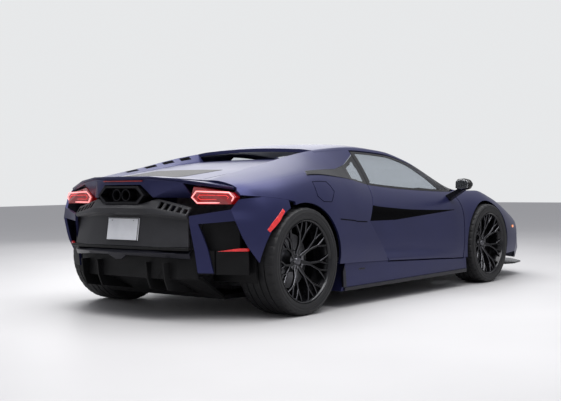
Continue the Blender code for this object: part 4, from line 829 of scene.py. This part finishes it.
def build_spider(tag, centre, side, rim_r, rim_half, body):
    """Seven spokes of tapered bars that fork twice, each bar with thin lighter edges that are a painted highlight."""
    bm = bmesh.new()
    scale = rim_r / .28
    step = 2 * math.pi / SPOKES
    for k in range(SPOKES):
        for (r0, a0, w0), (r1, a1, w1) in BARS:
            start, end = (Vector(polar(r * scale, k * step + a * step + math.pi / 2)) for r, a in ((r0, a0), (r1, a1)))
            run = (end - start).normalized()
            across = Vector((-run.y, run.x))
            rings = []
            for t in (0, .34, .67, 1):
                at = start.lerp(end, t)
                w = w0 + (w1 - w0) * t
                share = min(1.0, max(0.0, (at.length - HUB_R) / (rim_r - .010 - HUB_R)))
                x = rim_half - .012 - DISH * (1 - share) ** 1.5
                ring = [(at + across * (w * s), d) for s, d in BAR_SECTION]
                rings.append([bm.verts.new((centre[0] + side * (x + d), centre[1] + p.x, centre[2] + p.y))
                              for p, d in ring])
            for i, face in enumerate(ringed(bm, rings)):
                face.material_index = BAR_LOOKS.get(i % len(BAR_SECTION), 0)
    obj = make(f"spokes_{tag}", bm, ALLOY, body, angle=20)
    obj.data.materials.append(POCKET)
    obj.data.materials.append(EDGE_HIGHLIGHT_AND_CAP)


# Outlines turned about the axle, as radius and x: the disc from the hub's face, the rim's lip inwards from the rim's
# edge, and the cap from the spokes' hub
DISC = [(.031, 0), (.075, 0), (.075, .012), (.185, .012), (.186, .016), (.186, .036), (.185, .040)]
LIP = [(0, 0), (.003, .002), (.006, 0), (.012, -.006), (.015, -.016), (.020, -.030), (.033, -.060)]
CAP = [(.001, .016), (.024, .014), (.030, .006), (.030, .001), (.001, .001)]


def build_wheels():
    """Tyres with grooves, rims, spokes, discs, calipers, caps and the liners of the arches."""
    for axle, (y, tyre_r, width, rim_r, half_track) in AXLES.items():
        half = width / 2
        rim_half = half * .94
        face = -HUB_INSET[axle]
        top = rim_half - DISH - .020
        hub = [(r, face + x) for r, x in DISC] + [(.078, face + .040), (.074, top), (.030, top), (.026, top + .004),
                                                 (.004, top + .006), (.004, face + .070), (.031, face + .066)]
        lip = [(rim_r - r, rim_half + x) for r, x in LIP] + [(rim_r - .030, -rim_half + .002), (rim_r, -rim_half)]
        cap = [(r, top + x) for r, x in CAP]
        profile, shoulder = tyre_profile(rim_r + .0006, tyre_r, half)

        def sipe(k, i):
            return -.006 if i in shoulder and k % 5 == 0 else 0

        for side_name, side in SIDES:
            tag = f"{axle}_{side_name}"
            body = f"wheel_{tag}"
            centre = (side * half_track, y, tyre_r)
            make(f"tread_{tag}", turned(profile, centre, side, TREAD_STEPS, sipe), RUBBER, body,
                 (f"tyre_{tag}",), angle=24)
            make(f"rim_{tag}", turned(lip, centre, side, 96), ALLOY, body, (f"wheel_{tag}",))
            build_spider(tag, centre, side, rim_r, rim_half, body)
            make(f"disc_{tag}", turned(hub, centre, side, 96), STEEL, body)
            make(f"cap_{tag}", turned(cap, centre, side, 40), EDGE_HIGHLIGHT_AND_CAP, body)
            bolts = bmesh.new()
            for k in range(5):
                a, b = polar(.044, 2 * math.pi * k / 5)
                nut = bmesh.ops.create_cone(bolts, cap_ends=True, segments=6, radius1=.0105, radius2=.0085, depth=.016)
                place = Matrix.Translation((centre[0] + side * (rim_half - DISH - .012), y + a, tyre_r + b))
                place = place @ Matrix.Rotation(side * math.pi / 2, 4, "Y")
                bmesh.ops.transform(bolts, matrix=place, verts=nut["verts"])
            make(f"bolts_{tag}", bolts, STEEL, body, angle=20)
            build_caliper(axle, side_name, side, centre, face)
            build_liner(tag, centre, side, tyre_r)


def build_caliper(axle, side_name, side, centre, face):
    """A caliper that bridges the disc, over 60 degrees of its rear edge, or of its front edge at the front."""
    bm = bmesh.new()
    outline = [(.120, face - .030), (.212, face - .030), (.214, face + .060), (.120, face + .064), (.120, face + .046),
               (.192, face + .046), (.192, face + .006), (.120, face + .006)]
    turn = math.pi if axle == "front" else 0
    ringed(bm, [[bm.verts.new(round_wheel(centre, side, math.radians(-30 + 5 * k) + turn, r, x)) for r, x in outline]
                for k in range(13)])
    body = f"steer_{side_name}" if axle == "front" else "body"
    bevel(make(f"caliper_{axle}_{side_name}", bm, GLOSS, body), .004)


# Room between a front tyre and its liner, along the car and upwards
LINER_ROOM = (.080, .048)


def build_liner(tag, centre, side, tyre_r):
    """The dark shell inside the wheel arch. At the front it leaves room for the turned tyre."""
    front = "front" in tag
    along, up = (tyre_r + room for room in (LINER_ROOM if front else (ARCH_GAP + .002,) * 2))
    outer, inner = [], []
    for k in range(33):
        a = math.radians(-18 + 216 * k / 32)
        for line, more in ((outer, 0), (inner, .004)):
            y, z = centre[1] + (along + more) * math.cos(a), centre[2] + (up + more) * math.sin(a)
            reach = .88
            if front:
                reach = .84 if z < .30 else max(.84, min(.925, abs(on_skin(y, z, side).x) - SKIN - .005))
            line.append([Vector((side * x, y, z)) for x in (.50, .62, .74, reach)])
    bm = bmesh.new()
    thick_grid(bm, outer, inner)
    make(f"liner_{tag}", bm, PLASTIC, "body")


def on_skin(y, z, side, lift=0.0):
    """The skin's point at a length and a height, lifted off it."""
    low, high, steps = 2.2, 4.95, 160
    rows = [low + (high - low) * k / steps for k in range(steps + 1)]
    row = side * min(rows, key=lambda r: abs(soft(side * r, y).z - z))
    return soft(row, y) - inward(row) * lift


def tube(name, points, radius, look, closed=False):
    """A thin round line on the body through points of the tables' frame."""
    curve = bpy.data.curves.new(name, "CURVE")
    curve.dimensions = "3D"
    curve.bevel_depth = radius
    curve.bevel_resolution = 2
    line = curve.splines.new("POLY")
    line.points.add(len(points) - 1)
    for point, (x, y, z) in zip(line.points, points):
        point.co = (x, y - MIDDLE_Y, z, 1)
    line.use_cyclic_u = closed
    curve.materials.append(look)
    obj = placed(name, curve)
    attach(obj, "body")


def ribbon(name, start, end, width, thick, look, side, taper):
    """A flat strip laid on the skin between two (y, z) points, width across it and thick proud of it."""
    steps = 8
    run = Vector((end[0] - start[0], end[1] - start[1])).normalized()
    outer, inner = [], []
    for k in range(steps + 1):
        y, z = (a + (b - a) * k / steps for a, b in zip(start, end))
        w = width * (1 - taper * abs(2 * k / steps - 1))
        ends = [(y - run.y * w / 2 * s, z + run.x * w / 2 * s) for s in (-1, 0, 1)]
        outer.append([on_skin(a, b, side, thick) for a, b in ends])
        inner.append([on_skin(a, b, side, -.002) for a, b in ends])
    bm = bmesh.new()
    thick_grid(bm, outer, inner)
    bevel(make(name, bm, look, "body"), .0016)


# The fuel flap's outline: y and z
FLAP = [(1.236, .900), (1.155, .900), (1.074, .897), (1.045, .865), (1.023, .829), (1.055, .792), (1.092, .754),
        (1.14, .757), (1.187, .760), (1.215, .778), (1.243, .797), (1.240, .85)]
# The lamp's bright ring and the bar inside it: x and z
LAMP_RING = [(.500, .803), (.537, .766), (.795, .768), (.817, .802), (.787, .833), (.540, .842)]
LAMP_BAR = [(.545, .803), (.562, .789), (.768, .789), (.780, .802), (.765, .814), (.562, .818)]


# The red reflector under the vent: x, y and z
REFLECTOR = [(.705, 1.979, .455), (.868, 1.868, .455), (.868, 1.868, .474), (.82, 1.898, .474)]
# The mirror's pane: x and z
MIRROR_PANE = [(.995, .832), (1.05, .822), (1.10, .832), (1.112, .862), (1.10, .890), (1.05, .902), (.998, .890)]
# The skirt's upright fin and its lip: name, outline of y and z, how far it stands out, edge radius
SKIRT_TRIMS = [("skirt_fin", [(.915, .150), (.955, .150), (.958, .262), (.940, .300), (.925, .262)], .0165, .002),
               ("skirt_lip", [(-.86, .121), (.93, .121), (.93, .146), (-.86, .152)], .0105, .004)]


def lamp_face(x, z, side):
    """A point just proud of the tail lamp's face, which is close to a plane."""
    table = np.array([(1, a, b) for a, b, _ in LAMP])
    fit = np.linalg.lstsq(table, np.array([c for _, _, c in LAMP]), rcond=None)[0]
    return Vector((side * x, float(fit @ (1, x, z)) + .005, z))


def build_details():
    """Markers, reflectors, shut lines, slots, lamp rings, mirror panes and the skirt's trims."""
    for tag, side in SIDES:
        ribbon(f"marker_rear_{tag}", (1.629, .713), (1.754, .583), .034, .004, RED_SIDE, side, .35)
        ribbon(f"marker_front_{tag}", (-1.84, .470), (-1.78, .470), .024, .003, AMBER, side, .3)
        vent = [[Vector((side * .9565, y, z + drop)) for y, z in ((.66, .268), (.74, .270))] for drop in (0, -.012)]
        bevel(plate(f"skirt_vent_{tag}", vent, (side * -.003, 0, 0), DARK_STEEL), .001)
        for name, outline, out, width in SKIRT_TRIMS:
            slab(f"{name}_{tag}", [(side * .9555, y, z) for y, z in outline], (side * out, 0, 0), PAINT_DARK,
                 width=width)
        tube(f"flap_line_{tag}", [on_skin(y, z, side, .0006) for y, z in FLAP], .0018, VOID_AND_SHADE, closed=True)
        slot = [on_skin(1.008 - .361 * k / 8, .632 - .031 * k / 8, side, .0004) for k in range(9)]
        tube(f"side_slot_{tag}", slot, .0035, VOID_AND_SHADE)
        for name, ring, radius, look in (("outer", LAMP_RING, .0052, RED_GLOW), ("inner", LAMP_BAR, .0028, RED_LINE)):
            tube(f"lamp_{name}_{tag}", [lamp_face(x, z, side) for x, z in ring], radius, look, True)
        # The reflector takes the markers' glowing red: on it the glow is a painted highlight, as a reflector gives no
        # light of its own
        slab(f"reflector_{tag}", [(side * x, y, z) for x, y, z in REFLECTOR], (0, -.02, 0), RED_SIDE,
             width=.001)
        for k, y in enumerate((1.518, 1.331, 1.147, .960)):
            slot = [[quarter_skin(side * r, y + s) + Vector((0, 0, .0012)) for s in (-.055, -.02, .02, .055)]
                    for r in (1.905, 1.94, 1.98)]
            plate(f"buttress_slot_{k}_{tag}", slot, (0, 0, -.004), VOID_AND_SHADE)
        slab(f"mirror_pane_{tag}", [(side * x, -.6225, z) for x, z in MIRROR_PANE], (0, .003, 0), MIRROR,
             f"door_{tag}", .001)
        for name, line in (("a", ((2.15, -2.02), (2.5, -1.93), (2.9, -1.97))), ("b", ((2.5, -1.93), (2.42, -1.85)))):
            tube(f"daylight_{name}_{tag}", [soft(side * r, y) - inward(side * r) * .0012 for r, y in line], .004,
                 WHITE_GLOW)


# The plate's outer face: y and z of a point near its foot, and its lean
PLATE_FOOT = (2.1575, .517)
PLATE_LEAN = .160


def on_plate(x, z, lift=0.0):
    return x, PLATE_FOOT[0] - PLATE_LEAN * (z - PLATE_FOOT[1]) + lift, z


def build_middle():
    """The dark mesh let into the engine lid, the number plate's rim and screws, and the third brake light."""
    grid = []
    for x in [.33 * (j / 8 - 1) for j in range(17)]:
        line = [(y, deck(LID_EDGE * x / deck(LID_EDGE, y).x if x else 0, y).z) for y in
                [1.50 + .46 * k / 10 for k in range(11)]]
        grid.append([Vector((x, y, z + .0015)) for y, z in line])
    plate("engine_mesh", grid, (0, 0, -.004), MESH, "engine_lid")
    corners = ((-.149, .5195), (.149, .5195), (.149, .6645), (-.149, .6645))
    tube("plate_rim", [on_plate(x, z) for x, z in corners], .0026, DARK_STEEL, True)
    for k, x in enumerate((-.105, .105)):
        tube(f"plate_screw_{k}", [on_plate(x + s, .650, .0006) for s in (-.0035, .0035)], .0034, STEEL)
    tube("brake_strip", [(x, 2.1385, .913) for x in (-.19, -.10, 0, .10, .19)], .0045, RED_DIM)


def pad(name, cx, outline, half, swell, nodes=()):
    """A crowned leather cushion from a side outline of (y, z), narrower and fuller towards its middle."""
    my, mz = (sum(p[c] for p in outline) / len(outline) for c in (0, 1))
    bm = bmesh.new()
    rings = []
    for s in (-1, -.82, -.45, 0, .45, .82, 1):
        size = (1 - .10 * abs(s) ** 3) * (1 + swell * (1 - s * s))
        rings.append([bm.verts.new((cx + s * half, my + (y - my) * size, mz + (z - mz) * size)) for y, z in outline])
    ringed(bm, rings)
    obj = make(name, bm, LEATHER, "body", nodes, angle=80)
    sub = obj.modifiers.new("soft", "SUBSURF")
    sub.levels = sub.render_levels = 2


# The seats' distance from the middle, and their cushions: name, side outline of y and z, half width, swell
SEAT_X = .37
PADS = [("base", [(-.41, .16), (.14, .16), (.20, .26), (.12, .36), (-.12, .352), (-.38, .375), (-.42, .30)],
         .235, .02),
        ("back", [(.12, .33), (.22, .20), (.30, .24), (.42, .56), (.48, .80), (.40, .83), (.33, .72), (.22, .50)],
         .225, .015),
        ("head", [(.385, .82), (.47, .82), (.465, .92), (.42, .935), (.375, .90)], .12, .02)]


def build_seats():
    for tag, side in SIDES:
        for name, outline, half, swell in PADS:
            pad(f"seat_{name}_{tag}", SEAT_X * side, outline, half, swell, (f"seat_{tag}",) if name == "base" else ())


def add_camera():
    data = bpy.data.cameras.new("camera")
    data.sensor_width = SENSOR_MM
    data.lens = CAM_FOCAL_PX * SENSOR_MM / IMAGE_W
    data.clip_end = 200
    yaw, pitch = math.radians(CAM_YAW), math.radians(CAM_PITCH)
    forward = Vector((math.cos(pitch) * math.sin(yaw), math.cos(pitch) * math.cos(yaw), math.sin(pitch)))
    turn = forward.to_track_quat("-Z", "Y").to_matrix().to_4x4()
    cam = placed("camera", data)
    cam.matrix_world = Matrix.Translation(CAM_AT) @ turn @ Matrix.Rotation(-math.radians(CAM_ROLL), 4, "Z")
    bpy.context.scene.camera = cam


def add_floor():
    bpy.ops.mesh.primitive_plane_add(size=60, location=(0, 0, 0))
    floor = bpy.context.object
    floor.name = "floor"
    floor.data.materials.append(finish("floor_pale", (.46, .455, .46), .50, vary=.03, scale=.8))


# Studio lamps: name, place, size and power
LIGHTS = [("key", (-5, 3, 6.5), 5, 300), ("top", (0, .5, 5.0), 6, 520), ("back", (5, -4, 4), 5, 160)]
AIM = Vector((0, 0, .5))


def add_lights():
    """The lamps, and a world that looks pale to the camera and lights the object more softly."""
    for name, at, size, power in LIGHTS:
        data = bpy.data.lights.new(name, "AREA")
        data.size = size
        data.energy = power
        lamp = placed(name, data)
        lamp.location = at
        lamp.rotation_euler = (AIM - Vector(at)).to_track_quat("-Z", "Y").to_euler()
    world = bpy.data.worlds.new("world")
    bpy.context.scene.world = world
    world.use_nodes = True
    tree = world.node_tree
    link = tree.links.new
    seen = tree.nodes["Background"]
    seen.inputs["Color"].default_value = (.80, .81, .82, 1)
    light = shader(tree, "Background", Color=(.86, .87, .92, 1), Strength=.62)
    path = shader(tree, "LightPath")
    either = shader(tree, "Math")
    either.operation = "MAXIMUM"
    link(path.outputs["Is Camera Ray"], either.inputs[0])
    link(path.outputs["Is Transmission Ray"], either.inputs[1])
    mix = shader(tree, "MixShader")
    link(either.outputs["Value"], mix.inputs["Fac"])
    link(light.outputs["Background"], mix.inputs[1])
    link(seen.outputs["Background"], mix.inputs[2])
    link(mix.outputs["Shader"], tree.nodes["World Output"].inputs["Surface"])


add_camera()
build_panels()
build_rounded()
build_wheels()
build_details()
build_middle()
build_seats()
add_floor()
add_lights()
bpy.context.scene.view_settings.view_transform = "Standard"
